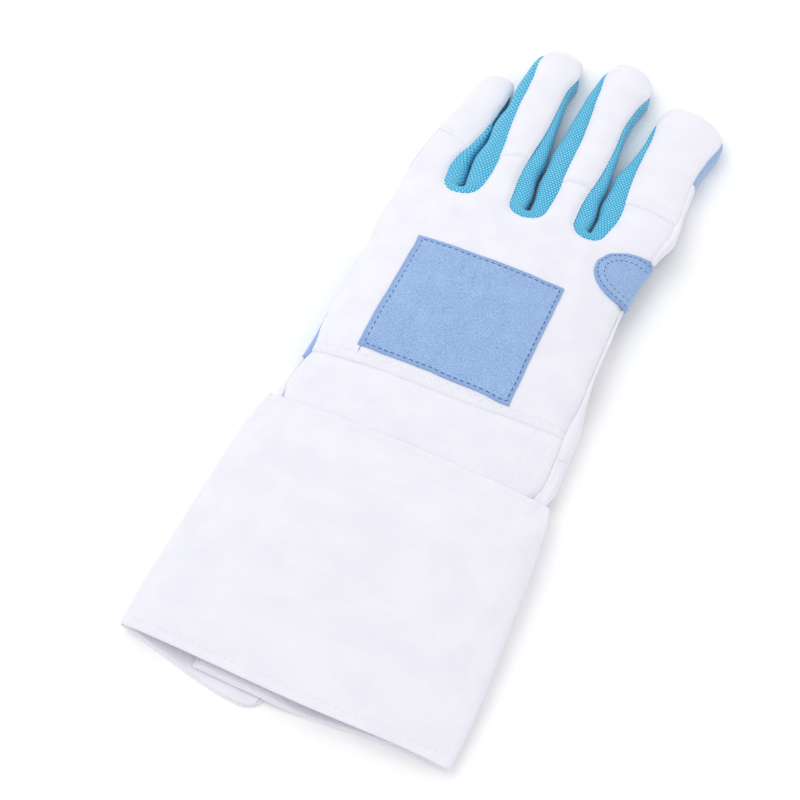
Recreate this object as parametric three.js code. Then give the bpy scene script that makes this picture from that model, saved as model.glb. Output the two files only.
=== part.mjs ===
// A left-hand fencing glove lying palm down, with its thumb tucked under the palm.
// X runs towards the index finger, Y towards the fingertips and Z up, in millimetres.
import * as THREE from 'three';

// Walls of the cloth, the padded back, the mesh and the suede, and the gaps at seams and creases.
const CUFF_WALL = 2.0;
const WRIST_WALL = 1.8;
const BACK_WALL = 2.6;
const FINGER_BACK_WALL = 1.8;
const SIDE_WALL = 1.4;
const MESH_WALL = 1.3;
const SUEDE_WALL = 1.3;
const PATCH_WALL = 1.0;
const SEAM_GAP = 0.3;
const CREASE_GAP = 0.8;

// The gauntlet cuff.
const CUFF_LENGTH = 119;
const CUFF_HEM_WIDTH = 146;
const CUFF_TOP_WIDTH = 136;
const CUFF_HEM_HEIGHT = 9.5;
const CUFF_TOP_HEIGHT = 18.5;
const FLAP_EDGE = -5;
const FLAP_OVERLAP = 33;
const FLAP_DROP = 8.5;
const FLAP_CORNER = 9;
const INNER_FLAP_DROP = 3;
const HEM_SLANT = 2;

// The wrist and the hand.
const WRIST_TUCK = 7;
const WRIST_LENGTH = 25.5;
const HAND_LENGTH = 113.5;
const HAND_WIDTH = 126;
const HAND_HEIGHT = 25;
const HEM_RISE = 6;
const SIDE_UNDER = 6;
const SIDE_STRIP_START = 64;

// The thumb and the hole in the palm where it starts.
const THUMB_LENGTH = 74;
const THUMB_WIDTH = 29;
const THUMB_HEIGHT = 9;
const THUMB_BASE_X = 49.5;
const THUMB_BASE_ALONG = 40;
const THUMB_TURN = 29;
const THUMB_MOUTH = 34;
const THUMB_END_ROUND = 13;
const THUMB_HOLE_START = 48;
const THUMB_HOLE_LENGTH = 20;

// The patches on the back of the hand.
const PATCH_WIDTH = 73.2;
const PATCH_LENGTH = 66;
const PATCH_START = 5;
const PATCH_CENTRE = -3.2;
const CROTCH_PATCH_LENGTH = 31.5;
const CROTCH_PATCH_REACH = 19;
const CROTCH_PATCH_CENTRE = 91.4;

// Each finger's size, and the place of its middle line across the hand at the root and the tip.
const FINGERS = {
  little: { root: -52.5, tip: -46.5, length: 79.5, width: 22, height: 17.5, knuckle: 26, skew: 0 },
  ring: { root: -17.6, tip: -23.3, length: 108, width: 25, height: 20.5, knuckle: 24, skew: 0 },
  middle: { root: 15.5, tip: 12.5, length: 114.5, width: 26, height: 20.5, knuckle: 21, skew: 3 },
  index: { root: 52, tip: 52.5, length: 98, width: 33, height: 19.5, knuckle: 20, skew: 5 },
};

// How far from the tip a finger starts to round off, and how high its tip seam lies.
const TIP_ROUND = 13;
const TIP_SEAM_HEIGHT = 6.2;

// Outline of the cuff as shares of its length, of its straight taper's half width and of its height.
const CUFF_SECTIONS = [
  { along: 0, left: 0.996, right: 0.993 },
  { along: 0.17, left: 1.01, right: 1.015 },
  { along: 0.33, left: 1.008, right: 1.022 },
  { along: 0.5, left: 1.013, right: 1.021 },
  { along: 0.67, left: 1.018, right: 1.017 },
  { along: 0.83, left: 1.014, right: 1.007 },
  { along: 0.93, left: 1.0, right: 1.0 },
  { along: 1, left: 0.98, right: 0.98 },
];

// Outline of the wrist and hand as shares of the stretch from cuff to finger roots and of the half width.
// Insets are how far the top seams lie inside the outline; top and seams are shares of the hand's height.
const HAND_SECTIONS = [
  { along: -0.06, left: 0.955, right: 0.965, insetLeft: 0.02, insetRight: 0.06, top: 0.58, seam: 0.36 },
  { along: 0, left: 0.985, right: 1.0, insetLeft: 0.02, insetRight: 0.07, top: 0.63, seam: 0.38 },
  { along: 0.03, left: 1.005, right: 1.04, insetLeft: 0.02, insetRight: 0.08, top: 0.67, seam: 0.4 },
  { along: 0.08, left: 1.0, right: 1.044, insetLeft: 0.02, insetRight: 0.08, top: 0.74, seam: 0.45 },
  { along: 0.18, left: 0.994, right: 1.038, insetLeft: 0.05, insetRight: 0.08, top: 0.83, seam: 0.5 },
  { along: 0.27, left: 1.0, right: 1.032, insetLeft: 0.035, insetRight: 0.08, top: 0.89, seam: 0.51 },
  { along: 0.33, left: 0.996, right: 1.013, insetLeft: 0.025, insetRight: 0.05, top: 0.93, seam: 0.52 },
  { along: 0.45, left: 0.992, right: 0.975, insetLeft: 0.022, insetRight: 0.02, top: 0.97, seam: 0.53 },
  { along: 0.63, left: 0.994, right: 0.963, insetLeft: 0.022, insetRight: 0.016, top: 1.0, seam: 0.53 },
  { along: 0.77, left: 1.025, right: 0.96, insetLeft: 0.022, insetRight: 0.016, top: 0.99, seam: 0.52 },
  { along: 0.89, left: 1.022, right: 0.978, insetLeft: 0.022, insetRight: 0.016, top: 0.95, seam: 0.5 },
];

// Each finger's seams and side bulges as shares of its length and width, from root to tip rounding.
const FINGER_SECTIONS = {
  little: [
    { along: 0, left: 0.46, right: 0.45, leftSide: 0.06, rightSide: 0.34 },
    { along: 0.12, left: 0.473, right: 0.36, leftSide: 0.06, rightSide: 0.38 },
    { along: 0.3, left: 0.477, right: 0.44, leftSide: 0.06, rightSide: 0.22 },
    { along: 0.45, left: 0.44, right: 0.5, leftSide: 0.06, rightSide: 0.09 },
    { along: 0.6, left: 0.415, right: 0.49, leftSide: 0.055, rightSide: 0.07 },
    { along: 0.84, left: 0.36, right: 0.42, leftSide: 0.05, rightSide: 0.05 },
    { along: 1, left: 0.17, right: 0.2, leftSide: 0.03, rightSide: 0.03 },
  ],
  ring: [
    { along: 0, left: 0.32, right: 0.348, leftSide: 0.42, rightSide: 0.42 },
    { along: 0.12, left: 0.272, right: 0.304, leftSide: 0.46, rightSide: 0.42 },
    { along: 0.28, left: 0.288, right: 0.32, leftSide: 0.41, rightSide: 0.31 },
    { along: 0.45, left: 0.368, right: 0.388, leftSide: 0.29, rightSide: 0.18 },
    { along: 0.6, left: 0.396, right: 0.392, leftSide: 0.2, rightSide: 0.11 },
    { along: 0.75, left: 0.396, right: 0.4, leftSide: 0.155, rightSide: 0.07 },
    { along: 0.88, left: 0.36, right: 0.49, leftSide: 0.1, rightSide: 0.04 },
    { along: 1, left: 0.264, right: 0.264, leftSide: 0.04, rightSide: 0.03 },
  ],
  middle: [
    { along: 0, left: 0.273, right: 0.281, leftSide: 0.4, rightSide: 0.4 },
    { along: 0.12, left: 0.25, right: 0.273, leftSide: 0.42, rightSide: 0.36 },
    { along: 0.28, left: 0.281, right: 0.354, leftSide: 0.425, rightSide: 0.18 },
    { along: 0.45, left: 0.287, right: 0.379, leftSide: 0.385, rightSide: 0.1 },
    { along: 0.6, left: 0.335, right: 0.354, leftSide: 0.3, rightSide: 0.08 },
    { along: 0.75, left: 0.402, right: 0.429, leftSide: 0.19, rightSide: 0.055 },
    { along: 0.88, left: 0.369, right: 0.535, leftSide: 0.125, rightSide: 0.03 },
    { along: 1, left: 0.227, right: 0.21, leftSide: 0.04, rightSide: 0.03 },
  ],
  index: [
    { along: 0, left: 0.418, right: 0.368, leftSide: 0.3, rightSide: 0.025 },
    { along: 0.12, left: 0.36, right: 0.465, leftSide: 0.33, rightSide: 0.025 },
    { along: 0.2, left: 0.373, right: 0.455, leftSide: 0.34, rightSide: 0.03 },
    { along: 0.37, left: 0.435, right: 0.415, leftSide: 0.275, rightSide: 0.03 },
    { along: 0.55, left: 0.458, right: 0.402, leftSide: 0.13, rightSide: 0.03 },
    { along: 0.7, left: 0.465, right: 0.45, leftSide: 0.07, rightSide: 0.03 },
    { along: 0.87, left: 0.47, right: 0.505, leftSide: 0.035, rightSide: 0.03 },
    { along: 1, left: 0.28, right: 0.23, leftSide: 0.03, rightSide: 0.03 },
  ],
};

// Heights along a finger as shares of its height: middle line, drop to the seams, and underside.
const FINGER_HEIGHTS = [
  { along: 0, top: 1, crown: 0.05, bottom: 0.32 },
  { along: 0.25, top: 0.93, crown: 0.1, bottom: 0.19 },
  { along: 0.5, top: 0.82, crown: 0.15, bottom: 0.07 },
  { along: 0.75, top: 0.71, crown: 0.17, bottom: 0.015 },
  { along: 1, top: 0.62, crown: 0.17, bottom: 0 },
];

// The notches between fingers: how far each arc is shifted along the hand, where the crease lies
// between the two seams at the root and where the fingers part, and how far along they part.
const NOTCHES = [
  { left: 'little', right: 'ring', shift: 1.1, creaseRoot: 0.5, creaseSplit: 0.16, split: 40 },
  { left: 'ring', right: 'middle', shift: -1.2, creaseRoot: 0.5, creaseSplit: 0.39, split: 38 },
  { left: 'middle', right: 'index', shift: -0.1, creaseRoot: 0.5, creaseSplit: 0.32, split: 37 },
];

const WHITE = { color: 0xf2f1f8, roughness: 0.85, metalness: 0 };
const SUEDE = { color: 0x8cafdc, roughness: 0.95, metalness: 0 };
const MESH = { color: 0x3cb4dc, roughness: 0.8, metalness: 0 };

const CUFF_EDGE = CUFF_LENGTH;
const BACK_HEM = CUFF_EDGE + WRIST_LENGTH;
const ROOT = BACK_HEM + HAND_LENGTH - HEM_RISE / 2;
const HALF_HAND = HAND_WIDTH / 2;
const HALF_GAP = SEAM_GAP / 2;
const lerp = THREE.MathUtils.lerp;
const clamp = THREE.MathUtils.clamp;
const smoothstep = THREE.MathUtils.smoothstep;

// Smooth value of a table's column at a share along it.
function tableAt(table, column, share) {
  const t = clamp(share, table[0].along, table[table.length - 1].along);
  let i = 0;
  while (i < table.length - 2 && t > table[i + 1].along) i += 1;
  const slope = (k) => {
    const before = table[Math.max(k - 1, 0)];
    const after = table[Math.min(k + 1, table.length - 1)];
    return (after[column] - before[column]) / (after.along - before.along);
  };
  const [a, b] = [table[i], table[i + 1]];
  const step = b.along - a.along;
  const u = (t - a.along) / step;
  const rise = u * u * (3 - 2 * u);
  const start = u * (1 - u) * (1 - u) * slope(i) * step;
  const end = u * u * (u - 1) * slope(i + 1) * step;
  return lerp(a[column], b[column], rise) + start + end;
}

// Points of a grid, as rows of columns.
function grid(rows, columns, at) {
  return Array.from({ length: rows + 1 }, (_, i) => (
    Array.from({ length: columns + 1 }, (_, j) => at(i / rows, j / columns, i, j))
  ));
}

// Joins grids of surface points where they meet, leaving out the cells that skip names.
function surface(grids, skip = () => false) {
  const points = [];
  const pulls = [];
  const faces = [];
  const known = new Map();
  const indexOf = ([x, y, z, pull]) => {
    const key = [x, y, z].map((value) => Math.round(value * 1000)).join();
    if (!known.has(key)) {
      known.set(key, points.length);
      points.push(new THREE.Vector3(x, y, z));
    }
    pulls[known.get(key)] ??= pull;
    return known.get(key);
  };
  grids.forEach((rows, g) => {
    const ids = rows.map((row) => row.map(indexOf));
    for (let i = 0; i < ids.length - 1; i += 1) {
      for (let j = 0; j < ids[i].length - 1; j += 1) {
        if (skip(g, i, j)) continue;
        const [a, b, c, d] = [ids[i][j], ids[i][j + 1], ids[i + 1][j + 1], ids[i + 1][j]];
        const split = points[a].distanceTo(points[c]) <= points[b].distanceTo(points[d]);
        const pair = split ? [[a, b, c], [a, c, d]] : [[a, b, d], [b, c, d]];
        faces.push(...pair.filter((f) => new Set(f).size === 3));
      }
    }
  });
  return { points, pulls, faces };
}

// The way in from a seam's edge: a mitre, which turns level where the walls above and below nearly meet.
const MITRE_HEIGHT = 4;
function seamPull(out, height, sign) {
  const upright = clamp(height / MITRE_HEIGHT, 0, 1);
  return new THREE.Vector3(-out[0], -out[1], -sign * upright).normalize();
}

// Outward unit normals at a surface's points, turned to the side that the outward function names.
function orient({ points, pulls, faces }, outward) {
  const normals = points.map(() => new THREE.Vector3());
  const add = (face) => {
    const [a, b, c] = face.map((id) => points[id]);
    const n = b.clone().sub(a).cross(c.clone().sub(a));
    face.forEach((id) => normals[id].add(n));
    return n.dot(outward(a));
  };
  const side = faces.reduce((total, face) => total + add(face), 0);
  if (side < 0) {
    normals.forEach((n) => n.negate());
    faces.forEach((face) => face.reverse());
  }
  return normals.map((n, i) => (pulls[i] ? pulls[i].clone().negate() : n.normalize()));
}

// Ways out of the glove, for turning the pieces' faces.
const UP = new THREE.Vector3(0, 0, 1);
const DOWN = new THREE.Vector3(0, 0, -1);
const outOfCuff = (p) => new THREE.Vector3(p.x, 0, p.z - CUFF_HEM_HEIGHT / 2);

// A closed wall: the outer surface, its inward offset and the edge faces that join them.
function thicken(skin, wall, outward, lift = 0) {
  const normals = orient(skin, outward);
  const outer = skin.points.map((p, i) => p.clone().addScaledVector(normals[i], lift));
  const inner = skin.points.map((p, i) => p.clone().addScaledVector(normals[i], lift - wall));
  const count = outer.length;
  const index = [];
  const edges = new Map();
  for (const [a, b, c] of skin.faces) {
    index.push(a, b, c, a + count, c + count, b + count);
    for (const [from, to] of [[a, b], [b, c], [c, a]]) {
      if (!edges.delete(`${to},${from}`)) edges.set(`${from},${to}`, [from, to]);
    }
  }
  for (const [from, to] of edges.values()) {
    index.push(to, from, from + count, to, from + count, to + count);
  }
  const geometry = new THREE.BufferGeometry();
  const corners = [...outer, ...inner].flatMap((p) => p.toArray());
  geometry.setAttribute('position', new THREE.Float32BufferAttribute(corners, 3));
  geometry.setIndex(index);
  geometry.computeVertexNormals();
  return geometry;
}

const glove = new THREE.Group();
function addPiece(name, finish, geometry) {
  const mesh = new THREE.Mesh(geometry, new THREE.MeshStandardMaterial(finish));
  mesh.name = name;
  glove.add(mesh);
}

// One finger's seams, sides and heights at a place along the hand.
function makeFinger(name) {
  const size = FINGERS[name];
  const rows = FINGER_SECTIONS[name];
  const tipY = ROOT + size.length;
  const share = (y) => clamp((y - ROOT) / size.length, 0, 1);
  const roundFrom = 1 - TIP_ROUND / size.length;
  const turn = (y) => clamp((share(y) - roundFrom) / (1 - roundFrom), 0, 1);
  const axis = (y) => lerp(size.root, size.tip, share(y));
  const offset = (column, y) => {
    const straight = tableAt(rows, column, Math.min(share(y), roundFrom));
    const closing = 1 - Math.sqrt(Math.max(0, 1 - turn(y) ** 2));
    return lerp(straight, rows[rows.length - 1][column], closing) * size.width;
  };
  const height = (column, y) => tableAt(FINGER_HEIGHTS, column, share(y)) * size.height;
  const arch = (y) => Math.sqrt(Math.max(0, 1 - turn(y) ** 2));
  const pinch = (y) => (1 - turn(y)) ** 1.5;
  const skewFrom = tipY - 3 * TIP_ROUND;
  return {
    ...size,
    tipY,
    ribbonEnd: tipY - TIP_ROUND * 0.27,
    skewAt: (y, v) => size.skew * smoothstep(y, skewFrom, tipY) * v * v,
    left: (y) => axis(y) - offset('left', y),
    right: (y) => axis(y) + offset('right', y),
    leftSide: (y) => tableAt(rows, 'leftSide', share(y)) * size.width,
    rightSide: (y) => tableAt(rows, 'rightSide', share(y)) * size.width,
    top: (y) => lerp(TIP_SEAM_HEIGHT, height('top', y), arch(y)),
    seam: (y) => lerp(TIP_SEAM_HEIGHT, height('top', y) - height('crown', y), pinch(y)),
    bottom: (y) => lerp(TIP_SEAM_HEIGHT, height('bottom', y), arch(y)),
    bottomSeam: (y) => lerp(TIP_SEAM_HEIGHT, height('bottom', y), pinch(y)),
  };
}
const fingers = Object.fromEntries(Object.keys(FINGERS).map((name) => [name, makeFinger(name)]));
const fingerList = Object.values(fingers);

// The hand's outline and seams run on into the outer sides of the little and index fingers.
const handShare = (y) => (y - CUFF_EDGE) / (ROOT - CUFF_EDGE);
const rootRow = {
  along: 1,
  left: (fingers.little.leftSide(ROOT) - fingers.little.left(ROOT)) / HALF_HAND,
  right: (fingers.index.right(ROOT) + fingers.index.rightSide(ROOT)) / HALF_HAND,
  insetLeft: fingers.little.leftSide(ROOT) / HALF_HAND,
  insetRight: fingers.index.rightSide(ROOT) / HALF_HAND,
  top: 0.89,
  seam: 0.48,
};
const handRows = [...HAND_SECTIONS, rootRow];
const handAt = (column, y, scale) => tableAt(handRows, column, handShare(y)) * scale;

function leftSeam(y) {
  if (y > ROOT) return fingers.little.left(y);
  return handAt('insetLeft', y, HALF_HAND) - handAt('left', y, HALF_HAND);
}
function rightSeam(y) {
  if (y > ROOT) return fingers.index.right(y);
  return handAt('right', y, HALF_HAND) - handAt('insetRight', y, HALF_HAND);
}
function leftSide(y) {
  return y > ROOT ? fingers.little.leftSide(y) : handAt('insetLeft', y, HALF_HAND);
}
function rightSide(y) {
  return y > ROOT ? fingers.index.rightSide(y) : handAt('insetRight', y, HALF_HAND);
}

// Height of the top of the hand: a dome between its side seams, which turns into four finger tops.
const FINGER_BLEND_BEFORE = 14;
const FINGER_BLEND_AFTER = 9;
function domeShare(s) {
  return (1 - Math.min(Math.abs(s), 1) ** 2.3) ** 0.7;
}
function topOfHand(x, y) {
  const [left, right] = [leftSeam(y), rightSeam(y)];
  const s = (2 * x - left - right) / (right - left);
  const seam = handAt('seam', y, HAND_HEIGHT);
  return lerp(seam, handAt('top', y, HAND_HEIGHT), domeShare(s));
}
function topOfFinger(finger, x, y) {
  const [left, right] = [finger.left(y), finger.right(y)];
  const s = clamp((2 * x - left - right) / (right - left), -1.4, 1.4);
  const power = lerp(1, 0.6, clamp((y - finger.tipY + TIP_ROUND) / TIP_ROUND, 0, 1));
  const round = Math.sign(1 - s * s) * Math.abs(1 - s * s) ** power;
  return lerp(finger.seam(y), finger.top(y), round);
}
function fingerShare(y) {
  return smoothstep(y, ROOT - FINGER_BLEND_BEFORE, ROOT + FINGER_BLEND_AFTER);
}
function topAt(finger, x, y) {
  const share = fingerShare(y);
  if (share <= 0) return topOfHand(x, y);
  if (share >= 1) return topOfFinger(finger, x, y);
  return lerp(topOfHand(x, y), topOfFinger(finger, x, y), share);
}

// Height of the underside: flat at the wrist, lifted over the thumb, then four finger undersides.
const PALM_LIFT = THUMB_HEIGHT + SEAM_GAP;
const LIFT_START = BACK_HEM + 8;
const LIFT_END = LIFT_START + 32;
const PALM_LEFT_LIFT = 0.18;
const INSIDE_CUFF = 2 * CUFF_WALL + 2 * SEAM_GAP;
function underHand(x, y) {
  const across = lerp(PALM_LEFT_LIFT, 1, smoothstep(x, -HALF_HAND * 0.85, -HALF_HAND * 0.3));
  const inCuff = 1 - smoothstep(y, CUFF_EDGE + 1, CUFF_EDGE + WRIST_LENGTH * 0.5);
  return PALM_LIFT * across * smoothstep(y, LIFT_START, LIFT_END) + INSIDE_CUFF * inCuff;
}
function underAt(finger, x, y) {
  const share = smoothstep(y, ROOT - 8, ROOT + 22);
  if (share <= 0) return underHand(x, y);
  const middle = (finger.left(y) + finger.right(y)) / 2;
  const s = clamp((2 * (x - middle)) / (finger.right(y) - finger.left(y)), -1, 1);
  const round = (1 - s * s) ** 0.6;
  return lerp(underHand(x, y), lerp(finger.bottomSeam(y), finger.bottom(y), round), share);
}

// The three notches: the arc's centre and radius, and the crease between the two fingers.
const notches = NOTCHES.map((notch) => {
  const [left, right] = [fingers[notch.left], fingers[notch.right]];
  const y = ROOT + notch.shift;
  const x = (left.right(y) + right.left(y)) / 2;
  const radius = (right.left(y) - left.right(y)) / 2;
  const crease = (at) => {
    const share = lerp(notch.creaseRoot, notch.creaseSplit, clamp((at - ROOT) / notch.split, 0, 1));
    return lerp(left.right(at), right.left(at), share);
  };
  return { left, right, x, y, radius, crease };
});

// Grid lines of the hand: across, they run through the middles of the notches.
const STALK_COLUMNS = 5;
const ARC_ROWS = 4;
const FINGER_ROWS = 9;
const ROW_ROOM = 0.8;
const rowShares = Array.from({ length: FINGER_ROWS + 1 }, (_, i) => (
  Math.sin((i / FINGER_ROWS) * (Math.PI / 2))
));
const stalkEnds = fingerList.map((finger, k) => ({
  finger,
  before: notches[k - 1],
  after: notches[k],
}));
function arcX(notch, side, phase, gap = HALF_GAP) {
  return notch.x + side * (notch.radius + gap) * Math.sin(phase);
}
function arcY(notch, phase, gap = HALF_GAP) {
  return notch.y - (notch.radius + gap) * Math.cos(phase);
}

// The level direction out of a side seam, and how far the lower seam lies inside the upper one.
function seamOut(seamX, y, isLeft) {
  const step = 0.4;
  const slope = (seamX(y) - seamX(y - step)) / step;
  const size = Math.hypot(1, slope) * (isLeft ? -1 : 1);
  return [1 / size, -slope / size];
}
function underReach(y) {
  return SIDE_UNDER * (1 - smoothstep(y, ROOT - 20, ROOT + 25));
}

// At the tips the back and the front each keep half the seam's gap.
function tipGap(finger, y) {
  return HALF_GAP * smoothstep(y, finger.tipY - TIP_ROUND, finger.tipY);
}
function backTip(finger, x, y) {
  return topAt(finger, x, y) + tipGap(finger, y);
}
function frontTip(finger, x, y) {
  return underAt(finger, x, y) - tipGap(finger, y);
}

// The pull at a grid's first and last columns, which are seams.
function edgePull(k, v, y, heightAt, towardsArc) {
  if (v > 0 && v < 1) return undefined;
  const { finger, before, after } = stalkEnds[k];
  const isLeft = v < 0.5;
  const isOuter = !(isLeft ? before : after);
  const seamX = isLeft ? finger.left : finger.right;
  const outerX = isLeft ? leftSeam : rightSeam;
  const x = isOuter ? outerX(y) : seamX(y);
  const inner = isOuter ? x + (isLeft ? 1 : -1) * underReach(y) : x;
  const height = topAt(finger, x, y) - underAt(finger, inner, y);
  const out = towardsArc || seamOut(isOuter ? outerX : seamX, y, isLeft);
  return seamPull(out, height, heightAt === topAt || heightAt === backTip ? 1 : -1);
}

// Rows of one finger's stalk round the notch arcs, from their lowest points up to their middles.
function stalkArc(k, columns, insetLeft, insetRight, heightAt) {
  const { finger, before, after } = stalkEnds[k];
  return grid(ARC_ROWS, columns, (u, v) => {
    const phase = (u * Math.PI) / 2;
    const yLeft = arcY(before ?? after, phase);
    const yRight = arcY(after ?? before, phase);
    const y = lerp(yLeft, yRight, v);
    const xLeft = before ? arcX(before, 1, phase) : leftSeam(y) + insetLeft(y);
    const xRight = after ? arcX(after, -1, phase) : rightSeam(y) - insetRight(y);
    const x = lerp(xLeft, xRight, v);
    const isArc = v < 0.5 ? before : after;
    const toMiddle = [Math.sin(phase) * (v < 0.5 ? -1 : 1), Math.cos(phase)];
    return [x, y, heightAt(finger, x, y), edgePull(k, v, y, heightAt, isArc && toMiddle)];
  });
}

// Rows of one finger from a start line, or from its arcs' middles, to an end line or to the tip.
function stalkRows(k, columns, from, to, insetLeft, insetRight, heightAt) {
  const { finger, before, after } = stalkEnds[k];
  const rootAt = (v) => lerp((before ?? after).y, (after ?? before).y, v);
  const isInside = (share) => {
    const y = lerp(ROOT, finger.tipY, share);
    return (from === undefined || y > from + ROW_ROOM) && (to === undefined || y < to - ROW_ROOM);
  };
  const places = rowShares.filter(isInside).map((share) => (v) => lerp(rootAt(v), finger.tipY, share));
  if (from !== undefined) places.unshift(() => from);
  if (to !== undefined) places.push(() => to);
  return grid(places.length - 1, columns, (u, v, i) => {
    const y = places[i](v);
    const xLeft = finger.left(y) + (before ? HALF_GAP : insetLeft(y));
    const xRight = finger.right(y) - (after ? HALF_GAP : insetRight(y));
    const x = lerp(xLeft, xRight, v);
    const isTip = to === undefined && u === 1;
    const pull = isTip ? seamPull([0, 1], 0, 1) : edgePull(k, v, y, heightAt);
    return [x, y - finger.skewAt(y, v), heightAt(finger, x, y), pull];
  });
}

// The hand's own rows, from a hem line up to the lowest points of the notch arcs.
function handGrid(shares, columns, hem, insetLeft, insetRight, heightAt) {
  return grid(shares.length - 1, columns * fingerList.length, (u, v, i, j) => {
    const k = Math.min(Math.floor(j / columns), fingerList.length - 1);
    const { finger, before, after } = stalkEnds[k];
    const part = j / columns - k;
    const yTop = lerp(arcY(before ?? after, 0), arcY(after ?? before, 0), part);
    const guess = lerp(hem(0), yTop, shares[i]);
    const xLeft = before ? before.x : leftSeam(guess) + insetLeft(guess);
    const xRight = after ? after.x : rightSeam(guess) - insetRight(guess);
    const x = lerp(xLeft, xRight, part);
    const y = lerp(hem(x), yTop, shares[i]);
    const notchBottom = u === 1 && part === 0 && before;
    const pull = notchBottom ? edgePull(k, 0, y, heightAt, [0, 1]) : edgePull(k, v, y, heightAt);
    return [x, y, heightAt(finger, x, y), pull];
  });
}

// The hand's rows with each finger's rows joined on: every grid starts with the last row before it.
function withStalks(hand, columns, arcOf, stalkOf) {
  const grids = [hand];
  fingerList.forEach((finger, k) => {
    const [arc, stalk] = [arcOf(k), stalkOf(finger, k)];
    arc[0] = hand[hand.length - 1].slice(k * columns, (k + 1) * columns + 1);
    stalk[0] = arc[arc.length - 1];
    grids.push(arc, stalk);
  });
  return grids;
}
const evenShares = (count) => Array.from({ length: count + 1 }, (_, i) => i / count);
const seamInset = () => HALF_GAP;

// The curved hem where the padded back meets the wrist band.
function backHem(x) {
  return BACK_HEM - HEM_RISE / 3 + HEM_RISE * Math.max(0, x / HALF_HAND) ** 2;
}

// The padded back of the hand, with a short stalk for each finger.
function addBackPanel() {
  const hem = (x) => backHem(x) + HALF_GAP;
  const hand = handGrid(evenShares(10), STALK_COLUMNS, hem, seamInset, seamInset, topAt);
  const arcOf = (k) => stalkArc(k, STALK_COLUMNS, seamInset, seamInset, topAt);
  const stalkOf = (finger, k) => {
    const end = ROOT + finger.knuckle - HALF_GAP;
    return stalkRows(k, STALK_COLUMNS, undefined, end, seamInset, seamInset, topAt);
  };
  const grids = withStalks(hand, STALK_COLUMNS, arcOf, stalkOf);
  addPiece('back_panel', WHITE, thicken(surface(grids), BACK_WALL, () => UP));
}

// The four finger backs, from the knuckle seams to the tips.
function addFingerBacks() {
  Object.keys(fingers).forEach((name, k) => {
    const finger = fingers[name];
    const from = ROOT + finger.knuckle + HALF_GAP;
    const rows = stalkRows(k, STALK_COLUMNS, from, undefined, seamInset, seamInset, backTip);
    addPiece(`${name}_back`, WHITE, thicken(surface([rows]), FINGER_BACK_WALL, () => UP));
  });
}

// A strip's section: it leaves the upper seam level, bulges out and returns to the lower seam.
function sectionPoint(station, v, lowerGap) {
  const { x, y, out, bulge, upper, lower, under } = station;
  const angle = Math.PI * v;
  const start = v > 0.5 ? lowerGap - under : HALF_GAP;
  const reach = lerp(start, bulge, Math.sin(angle));
  const middle = (upper + lower) / 2;
  const place = [x + out[0] * reach, y + out[1] * reach, middle + (upper - middle) * Math.cos(angle)];
  if (v === 0) return [...place, seamPull(out, upper - lower, 1)];
  if (v === 1 && lowerGap > 0) return [...place, seamPull(out, upper - lower, -1)];
  return place;
}

// Stations down one side of a finger, limited by the crease between it and its neighbour.
const MESH_COLUMNS = 6;
function legStations(notch, finger, seamX, side, isLeft) {
  return rowShares.slice(0, FINGER_ROWS).map((share, i) => {
    const along = Math.min(lerp(notch.y, finger.tipY, share), finger.ribbonEnd);
    const x = seamX(along);
    const y = along - (isLeft ? 0 : finger.skewAt(along, 1));
    const room = Math.abs(notch.crease(along) - x) - CREASE_GAP / 2;
    const bulge = Math.max(Math.min(side(along), room), SEAM_GAP);
    const out = i > 0 ? seamOut(seamX, along, isLeft) : [isLeft ? -1 : 1, 0];
    return { x, y, bulge, out, under: 0, upper: topAt(finger, x, along), lower: underAt(finger, x, along) };
  });
}

// A mesh strip down one finger's side, round the notch and up the next finger's side.
function addFourchette(name, notch) {
  const { left, right } = notch;
  const down = legStations(notch, left, left.right, left.rightSide, false).reverse();
  const up = legStations(notch, right, right.left, right.leftSide, true);
  const arc = Array.from({ length: 2 * ARC_ROWS - 1 }, (_, i) => {
    const phase = (Math.PI / 2) * (1 - (i + 1) / ARC_ROWS);
    const side = phase > 0 ? -1 : 1;
    const finger = side < 0 ? left : right;
    const x = arcX(notch, side, Math.abs(phase), 0);
    const y = arcY(notch, Math.abs(phase), 0);
    const out = [-side * Math.sin(Math.abs(phase)), Math.cos(phase)];
    const bulge = notch.radius - CREASE_GAP;
    return { x, y, bulge, out, under: 0, upper: topAt(finger, x, y), lower: underAt(finger, x, y) };
  });
  const stations = [...down, ...arc, ...up];
  const rows = grid(stations.length - 1, MESH_COLUMNS, (u, v, i) => (
    sectionPoint(stations[i], v, HALF_GAP)
  ));
  const towardsCrease = (p) => new THREE.Vector3(notch.x - p.x, 0, 0);
  addPiece(name, MESH, thicken(surface([rows]), MESH_WALL, towardsCrease));
}

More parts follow.
